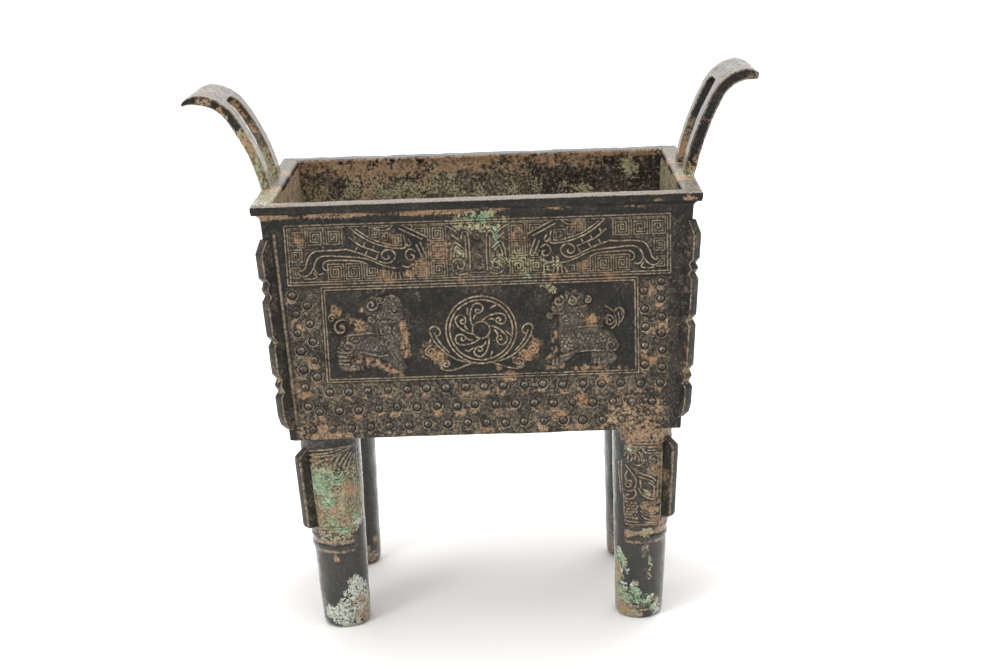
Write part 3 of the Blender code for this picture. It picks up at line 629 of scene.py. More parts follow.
RIGHT_LION_OUTLINE = (
    (55.5, 98.5), (50, 95.5), (49, 91), (53.5, 86.5), (53.5, 79.5), (52, 72.5), (53, 63),
    (57, 58), (51, 54.5), (44.5, 53.5), (44, 51), (51.5, 50), (59.5, 54), (64.5, 57.5),
    (73.5, 58), (74.5, 53), (74.5, 49.5), (84, 48.5), (89, 49.5), (87.5, 55.5), (91.5, 60),
    (92.5, 65), (88.5, 71), (82.5, 73.5), (73.5, 73.5), (69.5, 79), (72, 86), (72.5, 94),
    (69.5, 99), (62, 99.5))
RIGHT_LION = (
    (72, 66.2, 12.4, 7.2, 0, 1.5), (87, 62.6, 7, 7.6, 0, 2), (59.4, 66, 6.6, 9.2, 0, 1.9),
    (66.8, 87.4, 6, 5.6, 0, 1.7), (61.6, 92.6, 9, 6.2, 0, 1.8), (52.2, 89.4, 5.8, 4.8, 0, 1.8),
    (58.2, 82.4, 6.6, 6, 0, 1.8), (46.6, 84.2, 3, 3, 0, 2), (88.2, 54.2, 4.2, 5.4, 0, 1.6),
    (81.2, 50.9, 7.6, 2.7, 0, 1.8), (57.4, 55, 8.6, 3.1, 31, 1.8), (50.8, 50.9, 4.8, 2.7, 0, 2),
    (57, 60.2, 4.6, 5, 0, 1.6), (75, 73.4, 9, 2.5, 0, 1.5), (96, 85, 2.3, 3.6, 0, 1.2),
    (84.6, 81, 2, 2.6, 0, 1.5), (72.6, 94.8, 2.8, 2.8, 0, 1.5))
RIGHT_LION_CURLS = (
    (52.8, 94.8, 3.8, 60, -1.2, 0.8), (62, 94.4, 3.2, 90, -1.2, 0.8),
    (72.4, 94.8, 2.7, 90, -1.2, 0.6), (86.8, 79.4, 3.9, 100, -1.2, 0.8),
    (88, 62.4, 4.8, 0, -1.3, 0.6), (57.4, 83, 2.6, 0, -1.2, 0.5), (67.6, 88, 2, 120, -1.2, 0.45),
    (68, 83.6, 1.8, 120, -1.2, 0.45))
RIGHT_LION_LINES = (
    ((84, 89.6), (87.5, 87.8), (90, 85.2)), ((92.8, 85), (93.6, 79.6), (92.6, 76)),
    ((92, 87.6), (90, 85.2), (91.4, 81), (91.2, 76.8), (88.4, 74)),
    ((93.2, 88.6), (96.4, 86.6), (96.4, 82.4), (94.2, 78)),
    ((53.4, 55.6), (59.7, 57.3), (64.5, 59.4)), ((64.5, 57.8), (73.3, 59), (82.2, 58.6)),
    ((66, 75.8), (74, 76.2), (82, 75.6)), ((49, 86), (53.6, 85.4), (57, 87.2)),
    ((76.8, 52.8), (76.2, 49.6)), ((79.6, 53), (79.2, 49.6)), ((48.4, 52.8), (47.8, 49.6)),
    ((51.2, 53), (50.8, 49.6)))


def draw_lion(relief, outline, parts, curls, lines):
    """Lion that looks at the whorl: swelling body with rows of small scales, and a mane,
    tail and joints in rolled curls.  All of it is a little rubbed, and its raised body is also
    painted paler as a painted sheen."""
    path = smooth_line(outline, closed=True, per=3)
    relief.field(path, 0.9, edge=1.5)
    for u, v, half_u, half_v, turn, rise in parts:
        relief.lump(u, v, 0.92 * half_u, 0.92 * half_v, turn, rise)
    at = relief.window(path, 14.0)
    # The raised body is painted paler, for rubbed wear and as a painted sheen, and made glossier.
    raised = np.clip(relief.base[at] / 1.4, 0.0, 1.0)
    for layer, amount in (("line", 0.21), ("sheen", 0.4)):
        np.maximum(relief.paint[layer][at], amount * raised, out=relief.paint[layer][at])
    random = np.random.default_rng(17)
    wide, high = 2.6, 2.3       # from one scale to the next
    for u, v, half_u, half_v, _, _ in parts[:6]:
        for row in range(int(2.0 * half_v / high)):
            for column in range(int(2.0 * half_u / wide)):
                away_u = wide * column + 0.5 * wide * (row % 2) + 1.0 - half_u
                away_v = high * row + 1.2 - half_v
                slip_u, slip_v, turn, worn = random.normal((0.0, 0.0, 60.0, 0.45),
                                                           (0.35, 0.35, 60.0, 0.3))
                if (away_u / half_u) ** 2 + (away_v / half_v) ** 2 < 0.9 and worn > -0.1:
                    relief.thread(curl(u + away_u + slip_u, v + away_v + slip_v, 1.1, turn, 0.7),
                                  0.36, 0.45, max(worn, 0.2))
    for u, v, radius, start, turns, width in curls:
        relief.thread(curl(u, v, radius, start, turns), width, 0.3 + width, 0.6)
    for points in lines:
        relief.thread(smooth_line(points), 0.56, 0.6, 0.65)


def draw_bosses(relief, half, panel_half):
    """Three rows of bosses below the panel, a little higher in the middle, and two columns
    on each side of it, none of them quite even."""
    random = np.random.default_rng(7)
    places = []
    # A row has a height, and starts and ends at its own distance from the wall's ends.
    for v, start, end in ((33.6, 29.4, 14.3), (20.2, 21.8, 19.7), (7.0, 16.2, 14.1)):
        count = round((2.0 * half - start - end) / BOSS_PITCH)
        for u in np.linspace(start - half, half - end, count + 1):
            places.append((u, v + 2.0 * (1.0 - (u / half) ** 2)))
    for index in range(6):
        places += [(0.9 * index - panel_half - 19.5, 104.3 - 13.1 * index),
                   (panel_half + 16.1, 105.4 - 12.0 * index)]
    for index in range(5):
        places += [(0.9 * index - panel_half - 10.1, 97.3 - 12.8 * index),
                   (panel_half + 4.5, 99.9 - 13.0 * index)]
    places.append((14.3 - half, 25.6))
    band = (relief.v < PANEL_LOW - 1.0) | (np.abs(relief.u) > panel_half + 1.0)
    band &= (relief.v < PANEL_HIGH) & (relief.u > 4.0 - half) & (relief.u < half - 7.5)
    beside = np.abs(relief.u) > panel_half + 1.0
    relief.paint["silt"] += 0.34 * band - 0.08 * (band & beside) + 0.12 * (relief.u >= half - 7.5)
    relief.paint["soil"] += 0.16 * band
    for u, v in places:
        slip_u, slip_v, size = random.normal(0.0, 0.35, 3)
        u, v = u + slip_u, v + slip_v
        dirty = 1.2 if v < PANEL_LOW else 0.8
        relief.stain("soil", u - random.uniform(-1.4, 1.8), v - random.uniform(3.0, 4.6),
                     random.uniform(2.0, 3.8), dirty * random.uniform(0.3, 1.1))
        relief.boss(u, v, BOSS_RADIUS * (1.0 + 0.16 * size), BOSS_RISE * (1.0 + 0.2 * size),
                    random.uniform(0.45, 0.9))


def soften(values, reach):
    """Box blur over 2 * reach + 1 grid steps each way."""
    for axis in (0, 1):
        padded = np.concatenate([np.take(values, [0] * (reach + 1), axis), values,
                                 np.take(values, [-1] * reach, axis)], axis)
        total = np.cumsum(padded, axis)
        count = values.shape[axis]
        values = (np.take(total, np.arange(2 * reach + 1, 2 * reach + 1 + count), axis)
                  - np.take(total, np.arange(count), axis)) / (2 * reach + 1)
    return values


def wall(name, out, half_low, half_top, plan_low, plan_top, draw, columns, most):
    """A wall as one closed slab that faces out, with its half lengths and its distances from
    the middle at its lower and upper edge.

    Its outside is the plane through both edges plus the relief along its normal; ends are
    mitred at the corners; the inside is that plane moved in by the thickness, and the grid's
    columns wrap over the top and under the bottom.  Rows lie closer where the relief is
    finer.
    """
    rise = BODY_TOP - BODY_BOTTOM
    length = math.hypot(rise, plan_top - plan_low)
    v = np.concatenate((np.arange(0.0, PANEL_LOW, 0.46), np.arange(PANEL_LOW, PANEL_HIGH, 0.42),
                        np.arange(PANEL_HIGH, BAND_HIGH + 1.5, 0.36),
                        np.linspace(BAND_HIGH + 1.6, length + 1.2, 20)))
    cove = np.clip(v - (length - COVE), 0.0, COVE)
    flare = COVE - np.sqrt(COVE ** 2 - cove ** 2)
    foot = np.clip(CORNER_ROUND - v, 0.0, CORNER_ROUND)
    flare -= 0.8 * (CORNER_ROUND - np.sqrt(CORNER_ROUND ** 2 - foot ** 2))
    half = half_low + (half_top - half_low) * v / length
    share = np.linspace(-1.0, 1.0, columns)
    relief = Relief(half[:, None] * share[None, :], np.repeat(v[:, None], columns, axis=1))
    draw(relief)
    relief.paint["soil"] *= 1.0 - 0.85 * np.clip(relief.base / 0.8, 0.0, 1.0)
    height = relief.height()
    lean = np.array((0.0, 0.0, rise)) + np.array(out) * (plan_top - plan_low)
    up = lean / np.linalg.norm(lean)
    right = np.array((-out[1], out[0], 0))
    normal = np.cross(right, up)
    corner = np.clip((half[:, None] - np.abs(relief.u)) / MITRE_FADE, 0.0, 1.0)

    inner_v = np.linspace(length + 1.2, 0.0, 44)
    inner_half = half_low + (half_top - half_low) * inner_v / length - WALL_THICK
    all_v = np.concatenate((v, inner_v))
    all_half = np.concatenate((half + flare, inner_half))
    depth = np.concatenate((flare, np.full(len(inner_v), -WALL_THICK)))
    origin = np.array((MIDDLE_X, 0.0, BODY_BOTTOM)) + np.array(out) * plan_low
    points = MM * (origin + all_half[:, None, None] * share[None, :, None] * right
                   + all_v[:, None, None] * up + depth[:, None, None] * normal)
    rough = 0.16 * wobble(points, 30, 3) + 0.07 * wobble(points, 6, 4)
    rows = len(v)
    rough[:rows] = (rough[:rows] + height) * corner
    rough[rows:] *= -1.0
    rough[rows:] += 0.12 * wobble(points[rows:], 4, 5)
    rough[rows - 1] = rough[rows] = 0.0
    points += MM * rough[..., None] * normal

    sink = np.clip(1.9 * (soften(height, 5) - height), 0.0, 1.0)
    cove_soil = np.exp(-((relief.v - (length - 2.4)) / 2.0) ** 2)
    cove_soil *= 0.50 - 0.0045 * relief.u + 0.4 * wobble(points[:rows], 40, 8)
    relief.paint["soil"] += cove_soil + sink * 0.20
    relief.paint["silt"] += 0.08 * (1.0 + wobble(points[:rows], 25, 12))
    relief.paint["ochre"] += 0.24 * np.clip(wobble(points[:rows], 18, 14), 0.0, 1.0)
    # Painted shade in every recess, the more the lower it lies below its surroundings.
    relief.paint["hollow"] += sink
    layers = {key: np.vstack((sheet, np.zeros((len(inner_v), columns))))
              for key, sheet in relief.paint.items()}
    inside = points[rows:]
    # Inside, the end walls have more silt and earth than the long ones, the right end less
    # earth and more crust; towards the back right corner it is cleaner.
    front, back = (np.clip(way * inside[..., 1] / (60.0 * MM), 0.0, 1.0) for way in (-1.0, 1.0))
    clean = np.clip(inside[..., 0] / (110.0 * MM), -0.4, 1.0) * back
    end, olive = abs(out[0]), max(out[0], 0)
    layers["silt"][rows:] = (0.64 + 0.48 * end - 0.34 * clean * (1.0 - end) + 0.2 * front
                             + 0.14 * wobble(inside, 50, 9))
    layers["soil"][rows:] = ((0.10 + 0.31 * end - 0.16 * clean + 0.20 * wobble(inside, 30, 10))
                             * (1.0 - front * (1.0 - end)) * (1.0 - 0.85 * olive))
    brim = np.clip((inner_v[:, None] - 152.0 - 1.6 * wobble(inside, 30, 13)) / 3.0, 0.0, 1.0)
    layers["soil"][rows:] += brim * (0.66 - 0.4 * clean) * (1.0 - 0.5 * front) * (1.0 - 0.6 * olive)
    layers["ochre"][rows:] = (0.40 + 0.20 * olive - 0.2 * clean * (1.0 - end) + 0.04 * front
                              + 0.26 * wobble(inside, 25, 11))
    layers["crust"][rows:] = 0.20 + 0.34 * max(-out[0], 0)
    return add_piece(name, points.transpose(1, 0, 2).reshape(-1, 3),
                     tube(columns, len(all_v), turned=True),
                     {layer: values.T for layer, values in layers.items()}, most)


def draw_long(relief):
    """Relief of a long wall."""
    draw_frames(relief, 0.0, 0.76, 0.8)
    draw_ground(relief)
    draw_birds(relief)
    draw_mask(relief)
    draw_bosses(relief, HALF_X_LOW, PANEL_HALF)
    draw_whorl(relief)
    draw_lion(relief, LEFT_LION_OUTLINE, LEFT_LION, LEFT_LION_CURLS, LEFT_LION_LINES)
    draw_lion(relief, RIGHT_LION_OUTLINE, RIGHT_LION, RIGHT_LION_CURLS, RIGHT_LION_LINES)


# Patches on the front wall: u, v and radius in each layer, and how strong a layer is there.
FRONT_STRENGTH = {"green": 0.85, "ochre": 0.64, "silt": 0.50, "soil": 0.60}
FRONT_MARKS = {
    "green": ((3, 156.8, 7.6), (-4.4, 155.7, 5), (8, 157.6, 4), (12.5, 146.5, 2.6),
              (12.4, 141, 2.4), (12.3, 137.5, 2), (-27.7, 79.3, 1.6), (33, 112, 2.4)),
    "ochre": ((-14.5, 151.3, 6.5), (-6, 152, 7), (8, 152.4, 8), (15.4, 150.2, 6), (5.3, 146.5, 4),
              (-1.3, 148.1, 4), (-12, 132, 5), (14, 122, 6), (22.4, 122.5, 5), (28, 127.1, 5),
              (37.8, 121.9, 7), (46.4, 117.5, 6), (51.2, 121.4, 5), (31, 116, 5),
              (44.1, 106.4, 4), (48.7, 102, 3), (57.3, 98.2, 3), (40.8, 109.3, 4),
              (13.9, 108.1, 3), (60.6, 94.6, 3), (98, 14, 7), (88, 8, 5)),
    "silt": ((0, 132, 26), (100, 12, 16)),
    "soil": ((-26, 132, 9), (-38, 120, 8), (-58, 139, 6), (-62, 117, 7), (-45, 117, 5),
             (26, 140, 7), (66, 147, 5), (-118, 144, 7), (70, 118, 5), (106.7, 10.6, 15),
             (93, 11, 11), (117.1, 17.5, 8), (100, 18.1, 8), (-106.8, 5, 9), (-120.6, 5.5, 9),
             (-129.2, 101.2, 3), (-122.6, 79.8, 3.6), (-117.2, 58.2, 3.6), (-127.1, 33.3, 6),
             (113.2, 99.8, 5), (121, 71.3, 6), (114, 50.1, 6), (-12.8, 112, 4), (50.9, 111.5, 4),
             (87.8, 111.5, 4), (-81.5, 80.5, 6), (-86.8, 84.4, 3), (-78, 83, 3.4),
             (-80.6, 92, 2.6), (-84.5, 57, 4), (-78, 55.4, 4), (-71, 54.4, 4), (-65, 51, 4),
             (-96.4, 55.4, 2.6), (-52.8, 80, 4.6), (-52.8, 73, 4.6), (-52.4, 66, 4.6),
             (-51.6, 61, 3.8), (-61, 47.4, 3.6), (-56.5, 46, 3.2), (-98, 92, 5), (74.5, 79.4, 6),
             (70.3, 76.8, 3), (79.4, 79.4, 3.2), (63.5, 98.6, 3.6), (51.5, 90, 3.4),
             (48.7, 77.4, 2.4), (49.4, 71, 2.8), (48, 66, 2.8), (49, 60, 2.8), (46.2, 55, 3.6),
             (79, 56.4, 3.6), (44, 48, 2.4), (49, 48.2, 2.6), (54, 48.4, 2.4), (64, 45.7, 2.6),
             (69, 45.9, 3), (74.5, 46.3, 3.4), (80, 46.5, 3.4), (85, 46.5, 3), (92, 46, 2.2),
             (98, 46, 2.6), (22.2, 53.2, 3), (11.8, 48.7, 3), (66, 24, 6), (18, 41, 5),
             (82, 38, 5), (52, 12, 5))}


def draw_front(relief):
    """Relief of the front wall with a raised seam down its left end, and the patches on it."""
    draw_long(relief)
    seam = smooth_line(((-135.6, 146), (-133.8, 108), (-131.6, 62), (-129.4, 12)))
    relief.thread(seam, 0.9, 0.5, 0.55)
    for layer, patches in FRONT_MARKS.items():
        for u, v, radius in patches:
            relief.stain(layer, u, v, radius, FRONT_STRENGTH[layer])


def draw_short(relief):
    """Plainer relief of a short wall: the same frames, ground, mask, whorl and bosses, and
    four curls."""
    draw_frames(relief, SHORT_TRIM, 0.9, 0.9)
    for u in (26.3, 38.5, 50.7, 62.9):
        for v in (144.3, 132.1, 119.9):
            for side in (-1.0, 1.0):
                relief.thread(fret(side * u, v, FRET_HALF, FRET_GAP, side), 0.42)
    draw_mask(relief)
    draw_whorl(relief, cradle=False)
    draw_bosses(relief, HALF_Y_LOW, PANEL_HALF - SHORT_TRIM)
    for u in (-42.0, 42.0):
        for v in (96.0, 54.0):
            relief.thread(curl(u, v, 6.0, 90.0, math.copysign(1.8, u)), 0.5, 0.44)


wall("front_wall", (0, -1, 0), HALF_X_LOW, HALF_X_TOP, HALF_Y_LOW, HALF_Y_TOP, draw_front, 660,
     WALL_TRIANGLES)
wall("back_wall", (0, 1, 0), HALF_X_LOW, HALF_X_TOP, HALF_Y_LOW, HALF_Y_TOP, draw_long, 560,
     0.8 * WALL_TRIANGLES)
for name, out_x in (("left_wall", -1), ("right_wall", 1)):
    wall(name, (out_x, 0, 0), HALF_Y_LOW, HALF_Y_TOP, HALF_X_LOW, HALF_X_TOP, draw_short, 380,
         0.55 * WALL_TRIANGLES)

# ---- Floor ----------------------------------------------------------------------------
# The vessel's floor, a slab about 8 mm thick cast between the walls.  It is dull with silt,
# and more of it lies inside than underneath.
FLOOR_LOW, FLOOR_HIGH = 145.8, 153.5
FLOOR_GAP, FLOOR_ROUND = 0.7, 1.0       # from the walls' outside, and at its long edges


def add_floor():
    """Slab: a rectangle with rounded corners across, carried from one short wall to the
    other; its faces swell by smooth unevenness."""
    half_x, half_y = HALF_X_LOW - FLOOR_GAP, HALF_Y_LOW - FLOOR_GAP
    corner = FLOOR_ROUND * ray(np.radians(np.linspace(0.0, 90.0, 4))) - FLOOR_ROUND
    top = np.linspace(half_y - 1.5, 1.5 - half_y, 64)
    right = np.concatenate((corner + (half_y, FLOOR_HIGH),
                            np.stack((top, top * 0.0 + FLOOR_HIGH), axis=1)))
    loop = np.concatenate((right, -right + (0.0, FLOOR_LOW + FLOOR_HIGH)))
    along = np.linspace(-half_x, half_x, 110)
    points = np.empty((len(along), len(loop), 3))
    points[..., 0] = along[:, None] + MIDDLE_X
    points[..., 1:] = loop
    points *= MM
    points[1:-1, :, 2] += 0.25 * MM * wobble(points[1:-1], 30, 21)
    flat = points.reshape(-1, 3)
    above = flat[:, 2] > (FLOOR_LOW + FLOOR_HIGH) / 2.0 * MM
    layers = {"silt": 0.62 + 0.2 * wobble(flat, 50, 22), "ochre": 0.34 * above,
              "soil": np.where(above, 0.28, 0.2) + 0.22 * wobble(flat, 40, 23)}
    return add_piece("vessel_floor", flat, tube(len(along), len(loop)), layers)


add_floor()

# ---- Rim ------------------------------------------------------------------------------
# Flat rim that stands out all round the mouth, cast with the walls.  Its edges are soft
# and a little battered, and its top has a dull pale film of dust and painted reflection.
RIM_HALF_X, RIM_HALF_Y = 150.0, 97.7
RIM_TOP, RIM_THICK, RIM_BAND = 313.0, 6.0, 13.0
RIM_SOFT, RIM_CORNER = 0.9, 1.4         # rounding across an edge, and round a corner
RIM_TRIANGLES = 50000
RIM_MARKS = {
    "crust": ((-145, -86, 319.5, 7), (148, -34, 313, 4)),
    "ochre": ((-140, -78, 313, 13), (-143, -55, 313, 12), (-143, -34, 313, 11),
              (144, -33, 313, 14), (147, -18, 313, 10)),
    "soil": ((-146, -30, 313, 8), (-146, 30, 313, 9), (143, -44, 313, 7), (144, 28, 313, 10),
             (120, -99, 306, 3), (141, -99, 307, 4))}


def add_rim():
    """Rim: a rounded rectangular profile carried round a rectangle.  A place on the profile
    that lies o outwards has half lengths raised by o; every corner turns by an arc."""
    bend = RIM_SOFT * ray(np.radians(np.linspace(90.0, 0.0, 4))) - RIM_SOFT
    across = np.linspace(-RIM_BAND + 1.4, -1.4, 12)
    down = np.linspace(-1.3, -RIM_THICK + 1.3, 5)
    outer = np.concatenate((np.stack((across, 0.0 * across), axis=1), bend,
                            np.stack((0.0 * down, down), axis=1)))
    loop = np.concatenate((outer, -outer - (RIM_BAND, RIM_THICK)))
    steps_x, steps_y = np.linspace(-1.0, 1.0, 200), np.linspace(-1.0, 1.0, 130)
    place, face = [], []
    for quarter in range(4):
        steps = steps_y if quarter % 2 == 0 else steps_x
        cos, sin = (1, 0, -1, 0)[quarter], (0, 1, 0, -1)[quarter]
        side = np.stack((cos - sin * steps, sin + cos * steps), axis=1)
        angle = np.radians(90.0 * quarter + np.array((22.5, 45.0, 67.5)))
        place += [side, np.repeat([(cos - sin, sin + cos)], 3, axis=0)]
        face += [np.repeat([(cos, sin)], len(steps), axis=0), ray(angle)]
    place, face = np.concatenate(place)[:, None, :], np.concatenate(face)[:, None, :]
    half = np.array((RIM_HALF_X, RIM_HALF_Y)) + loop[None, :, :1] - RIM_CORNER
    points = np.empty((len(place), len(loop), 3))
    points[..., :2] = place * half + face * RIM_CORNER
    points[..., 2] = RIM_TOP + loop[:, 1]
    points[..., 0] += MIDDLE_X
    points *= MM
    rough = 0.13 * wobble(points, 30, 31) + 0.10 * wobble(points, 7, 32) - 0.12
    centre = np.array((-RIM_BAND / 2.0, -RIM_THICK / 2.0))
    swell = (loop - centre) / np.array((RIM_BAND / 2.0, RIM_THICK / 2.0))
    swell = np.where(np.abs(swell) > 0.8, np.sign(swell), 0.0)
    points[..., :2] += MM * rough[..., None] * face * swell[:, :1]
    points[..., 2] += MM * rough * swell[:, 1]
    flat = points.reshape(-1, 3)
    edge = np.tile(np.abs(swell).sum(axis=1) > 1.5, len(place))
    top = np.tile(loop[:, 1] > -0.5, len(place))
    back = flat[:, 1] / MM
    # The top faces are painted pale: a film of dust, and a painted reflection of the bright room
    # above.
    film = 0.85 * top * (back < 85.0)
    under = 0.70 * ~top * (back > 83.0) * (back < 87.0)
    layers = stains(flat, RIM_MARKS, silt=0.03 + 0.07 * wobble(flat, 30, 33) + film,
                    soil=0.05 + 0.10 * wobble(flat, 40, 34) + under, line=0.4 * edge,
                    sheen=0.6 * top)
    return add_piece("rim", flat, tube(len(place), len(loop), closed=True), layers,
                     RIM_TRIANGLES)


add_rim()

# ---- Handles --------------------------------------------------------------------------
# Two slotted straps, cast in one with the rim.  Each stands on a short side and hooks
# outwards, and the two differ in rise, hook and thickness.
HANDLE_HALF_WIDTH = 32.6
SLOT_LEFT, SLOT_CORNER = -15.3, 8.5
HANDLE_FOOT_X, HANDLE_LEAN = 147.0, 11.8
HANDLE_TIP, TIP_ROUND = 12.0, 1.6
HANDLE_TRIANGLES = 60000
# Scrolls scratched in the inner face of a strap, by distance from its middle and height
# over the slot's top.
STRAP_LINES = (
    ((0, 5), (5, 9), (11, 7.6), (14, 3)), ((2, 14), (8, 18), (14, 14.6), (13, 10.6), (9.4, 11.6)),
    ((19.6, 2), (20.4, 10), (17, 18), (10, 23)), ((0, 23), (6, 26.6), (14, 26)),
    ((24, 4), (25.2, 12), (23, 20), (18.6, 25)), ((26, 22), (22, 27), (16, 29.4)))


def even(line, count):
    """Points evenly spaced along a line."""
    step = np.concatenate(([0.0], np.cumsum(np.hypot(*np.diff(line, axis=0).T))))
    at = np.linspace(0.0, step[-1], count)
    return np.stack([np.interp(at, step, line[:, axis]) for axis in (0, 1)], axis=1)


def handle(name, side, rise, sway, hook, turn, thick, blunt, slot_top, slot_right, marks,
           soil):
    """Strap handle as one loop from foot to foot.

    On the flat strap a place lies at (y, s), s up from the rim: the share w of the way from
    the slot's edge to the strap's outer edge, at the same step of both edges.  The strap is
    then bent: at s its line leans by the lean plus sway times s over the rise, and past the
    rise by (s - rise) over the hook's radius more.  Near the tip its outside comes in: the
    thickness is times the root of blunt squared plus the distance from the end over the
    length of the tip, at most one.
    """
    length = rise + hook * math.radians(turn)
    fine = np.linspace(0.0, length, 800)
    lean = math.radians(HANDLE_LEAN) + math.radians(sway) * np.minimum(fine / rise, 1.0)
    lean += np.maximum(fine - rise, 0.0) / hook
    step = fine[1]
    line_x = HANDLE_FOOT_X + np.cumsum(np.sin(lean)) * step
    line_z = RIM_TOP + np.cumsum(np.cos(lean)) * step
    slot = np.interp(slot_top, line_z, fine)
    arc = np.radians(np.linspace(0.0, 90.0, 13))
    left = np.stack((SLOT_LEFT + SLOT_CORNER * (1.0 - np.cos(arc)),
                     slot - SLOT_CORNER * (1.0 - np.sin(arc))), axis=1)
    right = np.stack((slot_right + SLOT_LEFT - left[:, 0], left[:, 1]), axis=1)[::-1]
    low, tip, wide = -0.8 * RIM_THICK, TIP_ROUND, HANDLE_HALF_WIDTH
    inner = (np.vstack(((SLOT_LEFT, low), left[:7])), np.vstack((left[6:], right[:7])),
             np.vstack((right[6:], (slot_right, low))))
    corner, shoulder = wide - 0.3 * tip, length - 0.3 * tip
    outer = (np.array(((-wide, low), (-wide, length - tip), (-corner, shoulder))),
             np.array(((-corner, shoulder), (tip - wide, length), (wide - tip, length),
                       (corner, shoulder))),
             np.array(((corner, shoulder), (wide, length - tip), (wide, low))))
    counts = (120, 100, 120)
    inner = np.concatenate([even(part, count)[:-1] for part, count in zip(inner, counts)]
                           + [np.array([(slot_right, low)])])
    outer = np.concatenate([even(part, count)[:-1] for part, count in zip(outer, counts)]
                           + [np.array([(wide, low)])])
    share = np.linspace(0.0, 1.0, 44)
    flat_face = np.stack((share, np.where((share == 0.0) | (share == 1.0), 0.8, 0.0),
                          np.ones(len(share))), axis=1)
    outer_edge = np.array(((1.0, 0.25, 0.90), (1.0, 0.0, 0.60), (1.0, 0.0, 0.0),
                           (1.0, 0.0, -0.60), (1.0, 0.25, -0.90)))
    loop = np.concatenate((flat_face, outer_edge, flat_face[::-1] * (1.0, 1.0, -1.0),
                           outer_edge[::-1] * (0.0, 1.0, 1.0)))
    across = outer - inner
    toward = across / np.linalg.norm(across, axis=1)[:, None]
    spread = inner[:, None, :] + across[:, None, :] * loop[None, :, :1]
    spread = spread + toward[:, None, :] * (loop[:, 1] * (1.0 - 2.0 * loop[:, 0]))[None, :, None]
    y, s = spread[..., 0], spread[..., 1]
    thin = np.sqrt(np.clip(blunt ** 2 + (length - s) / HANDLE_TIP, 0.0, 1.0))
    lift = thick / 2.0 * (loop[None, :, 2] * thin + 1.0 - thin)
    below = np.minimum(s, 0.0)
    angle = np.interp(s, fine, lean)
    out = np.interp(s, fine, line_x) + below * math.sin(lean[0]) + lift * np.cos(angle)
    up = np.interp(s, fine, line_z) + below * math.cos(lean[0]) - lift * np.sin(angle)
    points = np.stack((side * out + MIDDLE_X, y, up), axis=-1) * MM
    rough = 0.14 * wobble(points, 20, 41) + 0.09 * wobble(points, 6, 42)
    points[..., 0] += MM * side * rough * np.sign(loop[:, 2]) * np.cos(angle)
    points[..., 2] -= MM * rough * np.sign(loop[:, 2]) * np.sin(angle)
    flat = points.reshape(-1, 3)
    edge = ((np.abs(loop[:, 2]) > 0.8) & (loop[:, 1] > 0.1))[None, :] * np.ones((len(inner), 1))
    inward = (loop[:, 2] < -0.95)[None, :] * np.ones((len(inner), 1))
    near = np.min([distance(path + (0.0, slot), y, s) for line in STRAP_LINES
                   for path in both(smooth_line(line))], axis=0)
    scratch = np.exp(-(near / 0.8) ** 2) * inward
    points[..., 0] += MM * side * 0.35 * scratch * np.cos(angle)
    points[..., 2] -= MM * 0.35 * scratch * np.sin(angle)
    # The inner, upward faces are painted pale, for a film of dust and as a painted reflection; the
    # scratches carry painted shade.
    layers = stains(flat, marks, silt=0.55 * inward.ravel() + 0.16 * wobble(flat, 20, 43),
                    soil=soil + 0.18 * wobble(flat, 20, 44), hollow=0.9 * scratch.ravel(),
                    line=(0.6 * edge + 0.6 * inward * np.exp(-((near - 1.8) / 0.8) ** 2)).ravel(),
                    sheen=0.8 * inward.ravel())
    return add_piece(name, flat, tube(len(inner), len(loop), turned=side > 0), layers,
                     HANDLE_TRIANGLES)


LEFT_MARKS = {
    "green": ((-151, -36, 316, 4), (-154, -35, 327, 3.4)),
    "ochre": ((-153, -34, 326, 13), (-156, -33, 336, 12), (-150, -30, 315, 9),
              (-162, -33, 349, 6), (-172, -33, 364, 3), (-151, 17, 317, 9), (-154, 17, 327, 7),
              (-180, 17, 369, 4)),
    "soil": ((-160, -33, 345, 5), (-186, -33, 375, 3), (-157, -33, 340, 4), (-176, -33, 368, 3),
             (-163, 17, 348, 3.4), (-174, 17, 364, 5), (-168, 17, 357, 2.6)),
    "silt": ((-186, -33, 374.5, 4.6), (-155, 17, 334, 10), (-160, 17, 344, 8))}
RIGHT_MARKS = {
    "soil": ((150.5, -31, 318.6, 3.6), (150, 22, 321, 6), (158.4, -33, 350.5, 2.4),
             (196, -33, 375, 2.4)),
    "ochre": ((148, -30, 312, 9),),
    "crust": ((147.5, -30, 311, 4),),
    "silt": ((153, 20, 334, 9), (194, -33, 376, 6))}
handle("left_handle", -1, rise=54.6, sway=22.0, hook=30.2, turn=73.4, thick=6.3, blunt=0.2,
       slot_top=370.5, slot_right=17.0, marks=LEFT_MARKS, soil=0.10)
handle("right_handle", 1, rise=58.4, sway=17.0, hook=27.0, turn=71.0, thick=7.7, blunt=0.55,
       slot_top=372.6, slot_right=20.3, marks=RIGHT_MARKS, soil=0.06)

